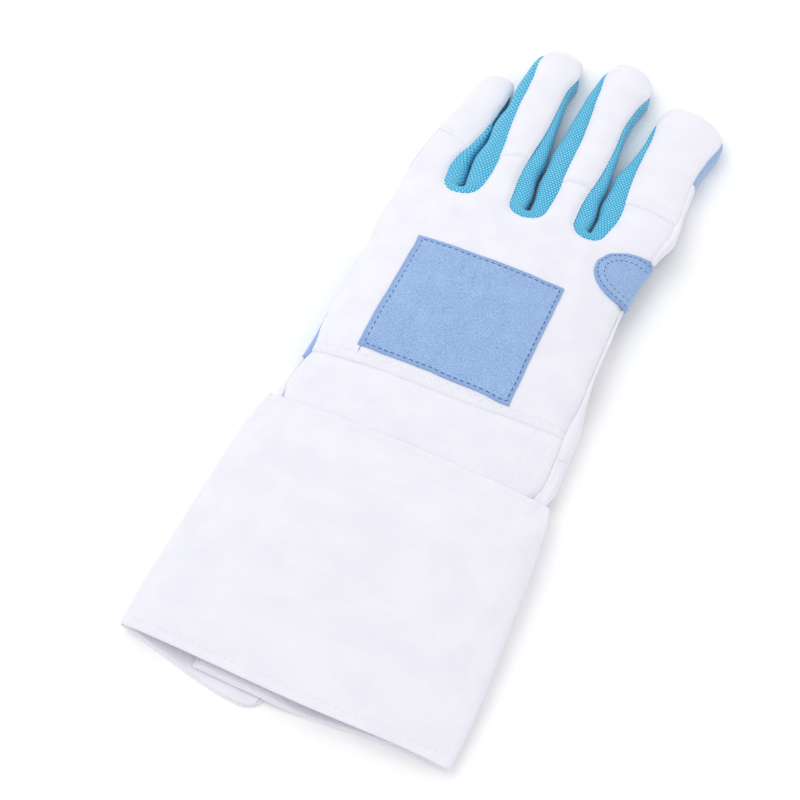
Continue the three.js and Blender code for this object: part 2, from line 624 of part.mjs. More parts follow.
// A point on the hand's outer edge, from the top seam at v = 0 to the lower seam at v = 1.
function edgePoint(y, v, isLeft, lowerGap) {
  const finger = isLeft ? fingers.little : fingers.index;
  const x = isLeft ? leftSeam(y) : rightSeam(y);
  const under = underReach(y);
  const station = {
    x,
    y: y - (isLeft ? 0 : finger.skewAt(y, 1)),
    out: seamOut(isLeft ? leftSeam : rightSeam, y, isLeft),
    bulge: Math.max(isLeft ? leftSide(y) : rightSide(y), SEAM_GAP),
    under,
    upper: topAt(finger, x, y),
    lower: underAt(finger, x + (isLeft ? under : -under), y),
  };
  return sectionPoint(station, v, lowerGap);
}
const EDGE_COLUMNS = 6;
function addEdgeStrip(name, finish, wall, from, to, isLeft) {
  const inside = edgePlaces(isLeft).filter((y) => y > from + ROW_ROOM && y < to - ROW_ROOM);
  const places = [from, ...inside, to];
  const strip = grid(places.length - 1, EDGE_COLUMNS, (u, v, i) => (
    edgePoint(places[i], v, isLeft, HALF_GAP)
  ));
  const outward = new THREE.Vector3(isLeft ? -1 : 1, 0, 0);
  addPiece(name, finish, thicken(surface([strip]), wall, () => outward));
}

// Rows of the palm, which the strips along its outer edges share.
const PALM_COLUMNS = 4;
const PALM_START = BACK_HEM - HEM_RISE;
const STRIP_START = BACK_HEM + SIDE_STRIP_START;
const palmTop = arcY(notches[2], 0);
const palmShare = (y) => (y - PALM_START) / (palmTop - PALM_START);
const holeStart = palmShare(BACK_HEM + THUMB_HOLE_START);
const holeEnd = palmShare(BACK_HEM + THUMB_HOLE_START + THUMB_HOLE_LENGTH);
const heelEnd = palmShare(STRIP_START - HALF_GAP);
const palmShares = [
  ...[0, 0.1, 0.2, 0.3, 0.4],
  ...[holeStart, (holeStart + heelEnd) / 2, heelEnd, holeEnd],
  ...[0.83, 0.91, 1],
];
function edgePlaces(isLeft) {
  const notch = isLeft ? notches[0] : notches[2];
  const finger = isLeft ? fingers.little : fingers.index;
  const alongHand = palmShares.map((share) => lerp(PALM_START, arcY(notch, 0), share));
  const alongArc = Array.from({ length: ARC_ROWS - 1 }, (_, i) => (
    arcY(notch, ((i + 1) / ARC_ROWS) * (Math.PI / 2))
  ));
  return [...alongHand, ...alongArc, ...rowShares.map((share) => lerp(notch.y, finger.tipY, share))];
}

// The suede palm with its finger fronts, round the thumb's hole and up over the heel's outer edge.
function addPalm() {
  const holeRows = [palmShares.indexOf(holeStart), palmShares.indexOf(holeEnd) - 1];
  const insetLeft = (y) => underReach(y) + (y > STRIP_START ? SEAM_GAP : 0);
  const insetRight = (y) => underReach(y) + SEAM_GAP;
  const hem = () => PALM_START;
  const hand = handGrid(palmShares, PALM_COLUMNS, hem, insetLeft, insetRight, frontTip);
  const heel = hand.slice(0, palmShares.indexOf(heelEnd) + 1).map((row) => (
    Array.from({ length: EDGE_COLUMNS + 1 }, (_, j) => (
      j === EDGE_COLUMNS ? row[0] : edgePoint(row[0][1], j / EDGE_COLUMNS, true, 0)
    ))
  ));
  const arcOf = (k) => stalkArc(k, PALM_COLUMNS, insetLeft, insetRight, frontTip);
  const stalkOf = (finger, k) => (
    stalkRows(k, PALM_COLUMNS, undefined, undefined, insetLeft, insetRight, frontTip)
  );
  const grids = [...withStalks(hand, PALM_COLUMNS, arcOf, stalkOf), heel];
  const skip = (g, i, j) => (
    g === 0 && i >= holeRows[0] && i <= holeRows[1] && j >= 3 * PALM_COLUMNS && j < 4 * PALM_COLUMNS - 1
  );
  addPiece('palm', SUEDE, thicken(surface(grids, skip), SUEDE_WALL, () => DOWN));
}

// The wrist: a band on top and an elastic underside that comes up over both edges.
function addWrist() {
  const start = CUFF_EDGE - WRIST_TUCK;
  const band = grid(5, 18, (u, v) => {
    const guess = lerp(start, BACK_HEM, u);
    const x = lerp(leftSeam(guess) + HALF_GAP, rightSeam(guess) - HALF_GAP, v);
    const y = lerp(start, backHem(x) - HALF_GAP, u);
    const side = v === 0 || v === 1 ? seamPull([v === 0 ? -1 : 1, 0], MITRE_HEIGHT, 1) : undefined;
    return [x, y, topOfHand(x, y), side];
  });
  addPiece('wrist_band', WHITE, thicken(surface([band]), WRIST_WALL, () => UP));
  const end = PALM_START - HALF_GAP;
  const rowY = (u) => lerp(start, end, u);
  const side = (isLeft) => grid(4, EDGE_COLUMNS, (u, v) => edgePoint(rowY(u), v, isLeft, 0));
  const [leftEdge, rightEdge] = [side(true), side(false)];
  const floor = grid(4, 12, (u, v, i) => {
    const [a, b] = [leftEdge[i][EDGE_COLUMNS], rightEdge[i][EDGE_COLUMNS]];
    if (v === 0 || v === 1) return v ? b : a;
    const x = lerp(a[0], b[0], v);
    return [x, a[1], underHand(x, a[1])];
  });
  const rising = rightEdge.map((row) => [...row].reverse());
  addPiece('wrist_underside', WHITE, thicken(surface([leftEdge, floor, rising]), WRIST_WALL, () => DOWN));
}

// The cuff: one cloth that starts at the inner flap's edge under the glove, runs round by the right
// edge, the top and the left edge, and ends at the outer flap's edge on the floor.
const CUFF_ROUNDNESS = 2.4;
const CUFF_COLUMNS = 38;
function cuffTop(share) {
  return lerp(CUFF_HEM_HEIGHT, CUFF_TOP_HEIGHT, Math.sin((share * Math.PI) / 2) ** 1.2);
}
function cuffHalf(share, column) {
  return tableAt(CUFF_SECTIONS, column, share) * lerp(CUFF_HEM_WIDTH, CUFF_TOP_WIDTH, share) / 2;
}
function hemPlace(x, angle) {
  const slant = HEM_SLANT * (smoothstep(x, 0, CUFF_HEM_WIDTH * 0.4) - 1);
  if (angle > Math.PI) {
    const corner = Math.max(0, x - (FLAP_EDGE - FLAP_CORNER)) / FLAP_CORNER;
    const rounded = FLAP_CORNER * (1 - Math.sqrt(Math.max(0, 1 - corner * corner)));
    return slant - FLAP_DROP * smoothstep(x, -CUFF_HEM_WIDTH * 0.55, FLAP_EDGE - FLAP_CORNER) + rounded;
  }
  if (angle < 0) return slant - INNER_FLAP_DROP * (1 - smoothstep(x, FLAP_EDGE, CUFF_HEM_WIDTH * 0.35));
  return slant;
}
function addCuff() {
  const flapAngle = (x) => Math.acos(-((Math.abs(x) / (CUFF_HEM_WIDTH / 2)) ** (CUFF_ROUNDNESS / 2)));
  const innerEdge = -flapAngle(FLAP_EDGE - FLAP_OVERLAP);
  const outerEdge = 2 * Math.PI - flapAngle(FLAP_EDGE);
  const overlapLift = CUFF_WALL + SEAM_GAP;
  const rows = grid(8, CUFF_COLUMNS, (u, v) => {
    const angle = lerp(innerEdge, outerEdge, v);
    const [c, s] = [Math.cos(angle), Math.sin(angle)];
    const half = cuffHalf(u, c < 0 ? 'left' : 'right');
    const x = Math.sign(c) * half * Math.abs(c) ** (2 / CUFF_ROUNDNESS);
    const top = cuffTop(u);
    const middle = top / 2;
    const rise = Math.abs(s) ** (2 / CUFF_ROUNDNESS);
    const lift = angle < 0 ? overlapLift * (1 - smoothstep(x, FLAP_EDGE + 1, FLAP_EDGE + 18)) : 0;
    const fall = (1 - (Math.abs(x) / half) ** 5) ** (1 / CUFF_ROUNDNESS);
    const z = s > 0 ? middle + middle * rise : Math.max(0, middle - (middle + 1) * fall);
    const end = CUFF_LENGTH + (Math.abs(x) / CUFF_TOP_WIDTH) ** 2 * 3 - 2;
    return [x, lerp(hemPlace(x, angle), end, u), z + lift];
  });
  addPiece('cuff', WHITE, thicken(surface([rows]), CUFF_WALL, outOfCuff));
}

// The thumb: a flat tube on the floor under the palm, open upwards at its mouth into the palm's hole.
const THUMB_ROWS = 12;
const THUMB_COLUMNS = 10;
function thumbPoint(along, across, rim, end) {
  const turn = THREE.MathUtils.degToRad(THUMB_TURN);
  const baseEnd = Math.min(1, along / THUMB_END_ROUND);
  const tipEnd = Math.min(1, (THUMB_LENGTH - along) / THUMB_END_ROUND);
  const round = (part) => Math.sqrt(Math.max(0, 1 - (1 - part) ** 2));
  const narrow = lerp(1, 0.84, along / THUMB_LENGTH);
  const half = (THUMB_WIDTH / 2) * narrow * round(baseEnd) * round(tipEnd);
  const width = half * Math.sin((across * Math.PI) / 2);
  const depth = Math.cos((across * Math.PI) / 2) ** 0.6 * round(baseEnd) * round(tipEnd);
  const x = THUMB_BASE_X - along * Math.sin(turn) + width * Math.cos(turn);
  const y = BACK_HEM + THUMB_BASE_ALONG + along * Math.cos(turn) + width * Math.sin(turn);
  const level = new THREE.Vector3(-Math.sign(across) * Math.cos(turn), -Math.sign(across) * Math.sin(turn), 0);
  return [x, y, lerp(rim, end, depth), Math.abs(across) === 1 ? level : undefined];
}
function addThumb() {
  const seam = THUMB_HEIGHT / 2;
  const backAt = (u) => THUMB_LENGTH * (0.5 - 0.5 * Math.cos(u * Math.PI));
  const back = grid(THUMB_ROWS, THUMB_COLUMNS, (u, v) => {
    const along = clamp(backAt(u), 0.4, THUMB_LENGTH - 0.4);
    const rim = along < THUMB_MOUTH - 1 ? THUMB_HEIGHT : seam - HALF_GAP;
    return thumbPoint(along, 2 * v - 1, rim, 0);
  });
  addPiece('thumb_back', WHITE, thicken(surface([back]), SUEDE_WALL, () => DOWN));
  const frontAt = (u) => lerp(THUMB_MOUTH + 3, THUMB_LENGTH, Math.sin((u * Math.PI) / 2));
  const front = grid(THUMB_ROWS - 4, THUMB_COLUMNS, (u, v) => {
    const along = Math.min(frontAt(u), THUMB_LENGTH - 0.4);
    return thumbPoint(along, 2 * v - 1, seam + HALF_GAP, THUMB_HEIGHT);
  });
  addPiece('thumb_front', SUEDE, thicken(surface([front]), SUEDE_WALL, () => UP));
}

// The suede patches that lie on the back: a rectangle, and a half-oval that wraps over the edge.
function addPatches() {
  const lift = PATCH_WALL + SEAM_GAP;
  const from = BACK_HEM + PATCH_START;
  const rectangle = grid(8, 10, (u, v) => {
    const x = PATCH_CENTRE + PATCH_WIDTH * (v - 0.5);
    const y = from + PATCH_LENGTH * u;
    return [x, y, topOfHand(x, y)];
  });
  addPiece('back_patch', SUEDE, thicken(surface([rectangle]), PATCH_WALL, () => UP, lift));
  const centre = BACK_HEM + CROTCH_PATCH_CENTRE;
  const topColumns = 6;
  const columns = topColumns + EDGE_COLUMNS - 1;
  const halfOval = grid(8, columns, (u, v, i, j) => {
    const angle = Math.PI * (u - 0.5);
    const y = centre + (CROTCH_PATCH_LENGTH / 2) * Math.sin(angle);
    const seam = rightSeam(y);
    if (j > topColumns) return edgePoint(y, (j - topColumns) / EDGE_COLUMNS, false, 0);
    const start = seam - 1 - (CROTCH_PATCH_REACH - 1) * Math.cos(angle) ** 0.85;
    const x = lerp(start, seam, j / topColumns);
    return [x, y, topAt(fingers.index, x, y)];
  });
  addPiece('crotch_patch', SUEDE, thicken(surface([halfOval]), PATCH_WALL, outOfCuff, lift + SEAM_GAP));
}

addCuff();
addWrist();
addBackPanel();
addFingerBacks();
addFourchette('fourchette_little_ring', notches[0]);
addFourchette('fourchette_ring_middle', notches[1]);
addFourchette('fourchette_middle_index', notches[2]);
const INDEX_SIDE_START = ROOT - 2;
const INDEX_SUEDE_START = ROOT + 48;
addEdgeStrip('little_side', WHITE, SIDE_WALL, STRIP_START + HALF_GAP, fingers.little.ribbonEnd, true);
addEdgeStrip('thumb_side', WHITE, SIDE_WALL, PALM_START + HALF_GAP, INDEX_SIDE_START - HALF_GAP, false);
addEdgeStrip('index_side', WHITE, SIDE_WALL, INDEX_SIDE_START + HALF_GAP, INDEX_SUEDE_START - HALF_GAP, false);
addEdgeStrip('index_tip_side', SUEDE, SUEDE_WALL, INDEX_SUEDE_START + HALF_GAP, fingers.index.ribbonEnd, false);
addPalm();
addThumb();
addPatches();

// The origin is the middle of the whole glove's box, at the surface that it lies on.
const box = new THREE.Box3().setFromObject(glove);
const centre = box.getCenter(new THREE.Vector3());
glove.position.set(-centre.x, -centre.y, -box.min.z);
const part = new THREE.Group();
part.add(glove);

export default part;
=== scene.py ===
"""A left-hand fencing glove that lies palm down, with its thumb tucked under the palm.

Every piece of cloth, mesh and suede is cut and shaped here, in the frame's own place. X runs towards
the index finger, Y towards the fingertips and Z up. Sizes are in millimetres until a mesh is made.
"""

from __future__ import annotations

import logging
import math
from dataclasses import dataclass, field
from enum import Enum
from typing import Callable, Optional, Sequence

import bpy
import numpy as np
from bpy.types import Material, NodeSocket, NodeTree, Object
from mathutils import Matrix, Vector, noise
from mathutils.bvhtree import BVHTree
from mathutils.kdtree import KDTree

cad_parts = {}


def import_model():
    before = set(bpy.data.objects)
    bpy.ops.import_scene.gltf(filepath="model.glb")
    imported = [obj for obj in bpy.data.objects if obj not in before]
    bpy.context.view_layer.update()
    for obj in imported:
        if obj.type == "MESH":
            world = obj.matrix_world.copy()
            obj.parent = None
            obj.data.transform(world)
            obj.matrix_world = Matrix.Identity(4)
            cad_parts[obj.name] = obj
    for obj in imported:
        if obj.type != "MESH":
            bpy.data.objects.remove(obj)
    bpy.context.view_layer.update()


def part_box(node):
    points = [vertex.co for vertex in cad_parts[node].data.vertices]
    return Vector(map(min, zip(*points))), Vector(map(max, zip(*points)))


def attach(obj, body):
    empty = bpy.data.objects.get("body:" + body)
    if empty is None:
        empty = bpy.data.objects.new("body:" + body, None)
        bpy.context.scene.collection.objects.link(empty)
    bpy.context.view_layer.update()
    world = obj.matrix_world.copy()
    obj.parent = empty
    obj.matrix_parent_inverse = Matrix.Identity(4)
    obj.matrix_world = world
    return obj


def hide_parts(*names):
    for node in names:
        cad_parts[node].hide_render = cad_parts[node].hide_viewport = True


LOG = logging.getLogger("fencing_glove")
MM = 0.001
SUFFIX = "_cloth"
CUT_MAP = "cut"
RIM_ATTRIBUTE = "rim"

Place = tuple[float, float]


# Small helpers


def lerp(start: float, end: float, share: float) -> float:
    """Returns the value a share of the way from start to end."""
    return start + (end - start) * share


def clamp(value: float, low: float, high: float) -> float:
    """Returns value, kept between low and high."""
    return max(low, min(high, value))


def smoothstep(value: float, low: float, high: float) -> float:
    """Returns 0 below low, 1 above high and a smooth rise between them."""
    share = clamp((value - low) / (high - low), 0.0, 1.0)
    return share * share * (3 - 2 * share)


def even(count: int) -> list[float]:
    """Returns shares from 0 to 1 in equal steps."""
    return [i / count for i in range(count + 1)]


def edged(count: int, closer: float) -> list[float]:
    """Returns shares from 0 to 1 that lie closer together near both ends.

    Args:
        count: how many steps there are.
        closer: 0 for equal steps, 1 for steps that shrink most at the ends.

    Returns:
        The shares, in order.
    """
    return [lerp(s, 0.5 - 0.5 * math.cos(math.pi * s), closer) for s in even(count)]


class Table:
    """Smooth values along a piece, from a few rows of shares with named columns."""

    def __init__(self, columns: str, rows: Sequence[Sequence[float]]) -> None:
        """Keeps the rows by column; the first column is the place along the piece."""
        self.along = [row[0] for row in rows]
        self.values = {name: [row[i] for row in rows] for i, name in enumerate(columns.split())}

    def at(self, column: str, share: float) -> float:
        """Returns a column's smooth value at a share along the piece.

        Args:
            column: the column's name.
            share: the place along the piece.

        Returns:
            The value.
        """
        along, values = self.along, self.values[column]
        t = clamp(share, along[0], along[-1])
        i = 0
        while i < len(along) - 2 and t > along[i + 1]:
            i += 1

        def slope(k: int) -> float:
            """Returns the slope at row k, from the rows on both sides of it."""
            low, high = max(k - 1, 0), min(k + 1, len(along) - 1)
            return (values[high] - values[low]) / (along[high] - along[low])

        step = along[i + 1] - along[i]
        u = (t - along[i]) / step
        rise = u * u * (3 - 2 * u)
        start = u * (1 - u) ** 2 * slope(i) * step
        end = u * u * (u - 1) * slope(i + 1) * step
        return lerp(values[i], values[i + 1], rise) + start + end


# Finishes


def linear(code: str) -> tuple[float, float, float, float]:
    """Returns the linear colour of an sRGB hex code such as F2F1F8."""
    parts = [int(code[i:i + 2], 16) / 255 for i in (0, 2, 4)]
    made = [p / 12.92 if p <= 0.04045 else ((p + 0.055) / 1.055) ** 2.4 for p in parts]
    return (*made, 1.0)


def add_node(tree: NodeTree, kind: str, inputs: Optional[dict] = None,
             **settings: object) -> bpy.types.Node:
    """Adds a node with its settings and links.

    Args:
        tree: the material's or world's node tree.
        kind: the node's type without its ShaderNode prefix.
        inputs: a value or another node's output socket for each input, by name or number.
        settings: the node's own properties.

    Returns:
        The new node.
    """
    node = tree.nodes.new("ShaderNode" + kind)
    for name, value in settings.items():
        setattr(node, name, value)
    for key, value in (inputs or {}).items():
        if isinstance(value, NodeSocket):
            tree.links.new(value, node.inputs[key])
        else:
            node.inputs[key].default_value = value
    return node


def new_material(name: str) -> tuple[Material, NodeTree]:
    """Returns a material with an empty node tree, and that tree."""
    material = bpy.data.materials.new(name)
    material.use_nodes = True
    material.node_tree.nodes.clear()
    return material, material.node_tree


def finish_material(tree: NodeTree, inputs: dict) -> None:
    """Ends a node tree in a Principled shader with these inputs."""
    shader = add_node(tree, "BsdfPrincipled", inputs)
    add_node(tree, "OutputMaterial", {"Surface": shader.outputs["BSDF"]})


def grain(tree: NodeTree, place: NodeSocket, size: float, detail: float = 2.0,
          roughness: float = 0.5) -> NodeSocket:
    """Adds a fractal noise.

    Args:
        tree: the node tree.
        place: the socket of the coordinates.
        size: how wide one grain is, in millimetres.
        detail: how many finer noises lie over it.
        roughness: how strong those are.

    Returns:
        The noise's value.
    """
    inputs = {"Vector": place, "Scale": 1 / (size * MM), "Detail": detail, "Roughness": roughness}
    return add_node(tree, "TexNoise", inputs).outputs["Fac"]


def bump(tree: NodeTree, height: NodeSocket, relief: float,
         strength: float) -> NodeSocket:
    """Adds a bump.

    Args:
        tree: the node tree.
        height: the socket of the height, from 0 to 1.
        relief: how high 1 stands, in millimetres.
        strength: how much of it is seen.

    Returns:
        The bent normal.
    """
    inputs = {"Height": height, "Distance": relief * MM, "Strength": strength}
    return add_node(tree, "Bump", inputs).outputs["Normal"]


def ramp(tree: NodeTree, factor: NodeSocket,
         stops: Sequence[tuple[float, str]]) -> NodeSocket:
    """Adds a colour ramp.

    Args:
        tree: the node tree.
        factor: the socket that drives the ramp.
        stops: the place and the hex code of each stop.

    Returns:
        The ramp's colour socket.
    """
    node = add_node(tree, "ValToRGB", {"Fac": factor})
    elements = node.color_ramp.elements
    while len(elements) < len(stops):
        elements.new(0.5)
    for element, (place, code) in zip(elements, stops):
        element.position = place
        element.color = linear(code)
    return node.outputs["Color"]


@dataclass(frozen=True)
class PolyesterTwill:
    """Bleached polyester twill, woven and then brushed, which gives a matt white with fine diagonal ribs."""

    name: str = "bleached_polyester_twill"
    light: str = "ECEBF3"
    dark: str = "E8E7F0"
    rib_spacing: float = 1.3
    slub_size: float = 0.9
    mottle_size: float = 14.0
    relief: float = 0.08
    roughness: float = 0.85
    glow: float = 0.2
    glow_depth: float = 1.6

    def make(self) -> Material:
        """Returns the material."""
        material, tree = new_material(self.name)
        place = add_node(tree, "UVMap", uv_map=CUT_MAP).outputs["UV"]
        mottle = grain(tree, place, self.mottle_size, 3.0)
        colour = ramp(tree, mottle, [(0.35, self.dark), (0.62, self.light)])
        # One rib of a wave texture is a turn of its sine, which runs at 20 radians for each unit.
        rib_scale = math.tau / 20 / (self.rib_spacing * MM)
        ribs = add_node(tree, "TexWave", {"Vector": place, "Scale": rib_scale, "Distortion": 1.2,
                                          "Detail": 2.0, "Detail Scale": 0.6},
                        wave_type="BANDS", bands_direction="DIAGONAL")
        slubs = grain(tree, place, self.slub_size)
        height = add_node(tree, "Math", {0: ribs.outputs["Fac"], 1: slubs}, operation="ADD")
        finish_material(tree, {
            "Base Color": colour,
            "Roughness": self.roughness,
            "Specular IOR Level": 0.2,
            "Sheen Weight": 0.15,
            "Sheen Roughness": 0.5,
            "Subsurface Weight": self.glow,
            "Subsurface Radius": (1.0, 1.0, 1.0),
            "Subsurface Scale": self.glow_depth * MM,
            "Normal": bump(tree, height.outputs[0], self.relief, 0.6),
        })
        return material


@dataclass(frozen=True)
class SpacerMesh:
    """Dyed polyester spacer mesh, warp-knitted, which gives rows of shiny raised stitches."""

    name: str = "dyed_polyester_spacer_mesh"
    stitch: str = "7EDAF1"
    yarn: str = "2FB6E0"
    ground: str = "1092C6"
    # The real knit has about 1.2 mm from stitch to stitch. It is drawn a little coarser, as in the photo.
    stitch_spacing: float = 1.6
    row_spacing: float = 1.35
    relief: float = 0.3
    roughness: float = 0.45

    def make(self) -> Material:
        """Returns the material."""
        material, tree = new_material(self.name)
        place = add_node(tree, "UVMap", uv_map=CUT_MAP).outputs["UV"]
        cells = add_node(tree, "TexBrick", {
            "Vector": place,
            "Scale": 1.0,
            "Brick Width": self.stitch_spacing * MM,
            "Row Height": self.row_spacing * MM,
            "Mortar Size": 0.36 * self.row_spacing * MM,
            "Mortar Smooth": 1.0,
            "Color1": (1, 1, 1, 1),
            "Color2": (0.8, 0.8, 0.8, 1),
            "Mortar": (0, 0, 0, 1),
        }, offset=0.5)
        colours = [(0.12, self.ground), (0.45, self.yarn), (0.85, self.stitch)]
        colour = ramp(tree, cells.outputs["Color"], colours)
        finish_material(tree, {
            "Base Color": colour,
            "Roughness": self.roughness,
            "Sheen Weight": 0.2,
            "Normal": bump(tree, cells.outputs["Color"], self.relief, 0.7),
        })
        return material


@dataclass(frozen=True)
class MicrofibreSuede:
    """Dyed microfibre suede, napped by sanding, which gives a matt speckled blue."""

    name: str = "dyed_microfibre_suede"
    light: str = "AAC4E6"
    middle: str = "8DAFDA"
    dark: str = "7794C8"
    # The rim colour darkens a border along the cut edges: partly pressed suede, partly painted shade at the
    # seams.
    rim: str = "7C98CC"
    speckle_size: float = 0.5
    cloud_size: float = 9.0
    rim_width: float = 2.4
    pressed_and_shade_share: float = 0.42
    relief: float = 0.09
    roughness: float = 0.95

    def make(self) -> Material:
        """Returns the material."""
        material, tree = new_material(self.name)
        place = add_node(tree, "TexCoord").outputs["Object"]
        speckle = grain(tree, place, self.speckle_size, 3.0, 0.7)
        cloud = grain(tree, place, self.cloud_size)
        both = add_node(tree, "Math", {0: cloud, 1: 0.1, 2: speckle}, operation="MULTIPLY_ADD")
        nap = ramp(tree, both.outputs[0], [(0.4, self.dark), (0.54, self.middle), (0.7, self.light)])
        # Within rim_width of a cut edge the nap is mixed towards the rim colour: partly pressed suede, partly
        # painted shade in the seams.
        distance = add_node(tree, "Attribute", attribute_name=RIM_ATTRIBUTE)
        pressed_and_shaded = add_node(tree, "MapRange", {
            "Value": distance.outputs["Fac"],
            "From Min": 0.8 * self.rim_width * MM,
            "From Max": self.rim_width * MM,
            "To Min": self.pressed_and_shade_share,
            "To Max": 0.0,
        })
        shares = {0: pressed_and_shaded.outputs[0], 6: nap, 7: linear(self.rim)}
        colour = add_node(tree, "Mix", shares, data_type="RGBA")
        finish_material(tree, {
            "Base Color": colour.outputs[2],
            "Roughness": self.roughness,
            "Specular IOR Level": 0.15,
            "Sheen Weight": 0.35,
            "Sheen Roughness": 0.6,
            "Normal": bump(tree, speckle, self.relief, 0.8),
        })
        return material


@dataclass(frozen=True)
class SewingThread:
    """Spun polyester sewing thread, twisted from fine strands, which gives a soft gloss."""

    name: str
    colour: str
    strand_size: float = 0.2
    roughness: float = 0.6

    def make(self) -> Material:
        """Returns the material."""
        material, tree = new_material(self.name)
        place = add_node(tree, "TexCoord").outputs["Object"]
        shade = linear(self.colour)
        deep = tuple(0.7 * part for part in shade[:3]) + (1.0,)
        strands = grain(tree, place, self.strand_size)
        colour = add_node(tree, "Mix", {0: strands, 6: deep, 7: shade}, data_type="RGBA")
        finish_material(tree, {"Base Color": colour.outputs[2], "Roughness": self.roughness})
        return material


class Finish(Enum):
    """The glove's finishes, each with the record's slot that it belongs to."""

    CLOTH = "white_cloth"
    MESH = "blue_mesh"
    SUEDE = "blue_suede"


class Yarn(Enum):
    """The threads that the glove is sewn with, each with the slot of what it holds."""

    WHITE = "white_cloth"
    BLUE = "blue_suede"


# Form of the glove


@dataclass(frozen=True)
class FingerForm:
    """One finger's seams, sides and heights."""

    root_x: float
    tip_x: float
    length: float
    width: float
    height: float
    knuckle: float
    skew: float
    root_y: float
    sections: Table
    heights: Table
    tip_round: float = 13.0
    tip_seam_height: float = 6.2
    tip_cover: float = 0.75

    @property
    def tip_y(self) -> float:
        """Returns the place of the tip."""
        return self.root_y + self.length

    @property
    def ribbon_end(self) -> float:
        """Returns the place where the strips along the sides end."""
        return self.tip_y - 0.27 * self.tip_round

    def share(self, y: float) -> float:
        """Returns the share of the finger's length at y."""
        return clamp((y - self.root_y) / self.length, 0.0, 1.0)

    def turn(self, y: float) -> float:
        """Returns 0 up to where the tip rounds off, rising to 1 at the tip."""
        start = 1 - self.tip_round / self.length
        return clamp((self.share(y) - start) / (1 - start), 0.0, 1.0)

    def arch(self, y: float) -> float:
        """Returns how full the rounded tip still is at y."""
        return math.sqrt(max(0.0, 1 - self.turn(y) ** 2))

    def cover(self, y: float) -> float:
        """Returns how much of a side the back and front cover at y, which grows towards the tip."""
        return self.tip_cover * smoothstep(y, self.tip_y - 26, self.tip_y - 10)

    def offset(self, column: str, y: float) -> float:
        """Returns how far a seam lies from the middle line."""
        start = 1 - self.tip_round / self.length
        straight = self.sections.at(column, min(self.share(y), start))
        last = self.sections.values[column][-1]
        return lerp(straight, last, 1 - self.arch(y)) * self.width

    def left(self, y: float) -> float:
        """Returns the left seam's place."""
        out = self.offset("left", y) + self.cover(y) * self.side("left_side", y)
        return lerp(self.root_x, self.tip_x, self.share(y)) - out

    def right(self, y: float) -> float:
        """Returns the right seam's place."""
        out = self.offset("right", y) + self.cover(y) * self.side("right_side", y)
        return lerp(self.root_x, self.tip_x, self.share(y)) + out

    def side(self, column: str, y: float) -> float:
        """Returns how far a side bulges out past the finger's own seam."""
        return self.sections.at(column, self.share(y)) * self.width

    def left_side(self, y: float) -> float:
        """Returns how far the left side bulges past the back's edge."""
        return self.side("left_side", y) * (1 - self.cover(y))

    def right_side(self, y: float) -> float:
        """Returns how far the right side bulges past the back's edge."""
        return self.side("right_side", y) * (1 - self.cover(y))

    def level(self, column: str, y: float) -> float:
        """Returns a height of the finger before its tip rounds off."""
        return self.heights.at(column, self.share(y)) * self.height

    def top(self, y: float) -> float:
        """Returns the height of the middle line."""
        return lerp(self.tip_seam_height, self.level("top", y), self.arch(y))

    def seam(self, y: float) -> float:
        """Returns the height of the upper seams."""
        pinch = (1 - self.turn(y)) ** 1.5
        return lerp(self.tip_seam_height, self.level("top", y) - self.level("crown", y), pinch)

    def bottom(self, y: float) -> float:
        """Returns the height of the underside's middle line."""
        return lerp(self.tip_seam_height, self.level("bottom", y), self.arch(y))

    def bottom_seam(self, y: float) -> float:
        """Returns the height of the lower seams."""
        return lerp(self.tip_seam_height, self.level("bottom", y), (1 - self.turn(y)) ** 1.5)

    def skew_at(self, y: float, across: float) -> float:
        """Returns how far the tip's corner falls back at a share across the finger."""
        return self.skew * smoothstep(y, self.tip_y - 3 * self.tip_round, self.tip_y) * across * across


@dataclass(frozen=True)
class Notch:
    """The rounded bottom between two fingers, and the crease between their sides."""

    left: FingerForm
    right: FingerForm
    x: float
    y: float
    radius: float
    crease_root: float
    crease_split: float
    split: float
    crease_gap: float
    hole: float

    def arc_x(self, side: int, phase: float, gap: float = 0.0) -> float:
        """Returns the place across of a point on the arc, on the left or right side of its bottom."""
        return self.x + side * (self.radius + gap) * math.sin(phase)

    def arc_y(self, phase: float, gap: float = 0.0) -> float:
        """Returns the place along of a point on the arc."""
        return self.y - (self.radius + gap) * math.cos(phase)

    def crease(self, y: float) -> float:
        """Returns the place of the crease between the two fingers' sides."""
        share = lerp(self.crease_root, self.crease_split, clamp((y - self.y) / self.split, 0.0, 1.0))
        return lerp(self.left.right(y), self.right.left(y), share)


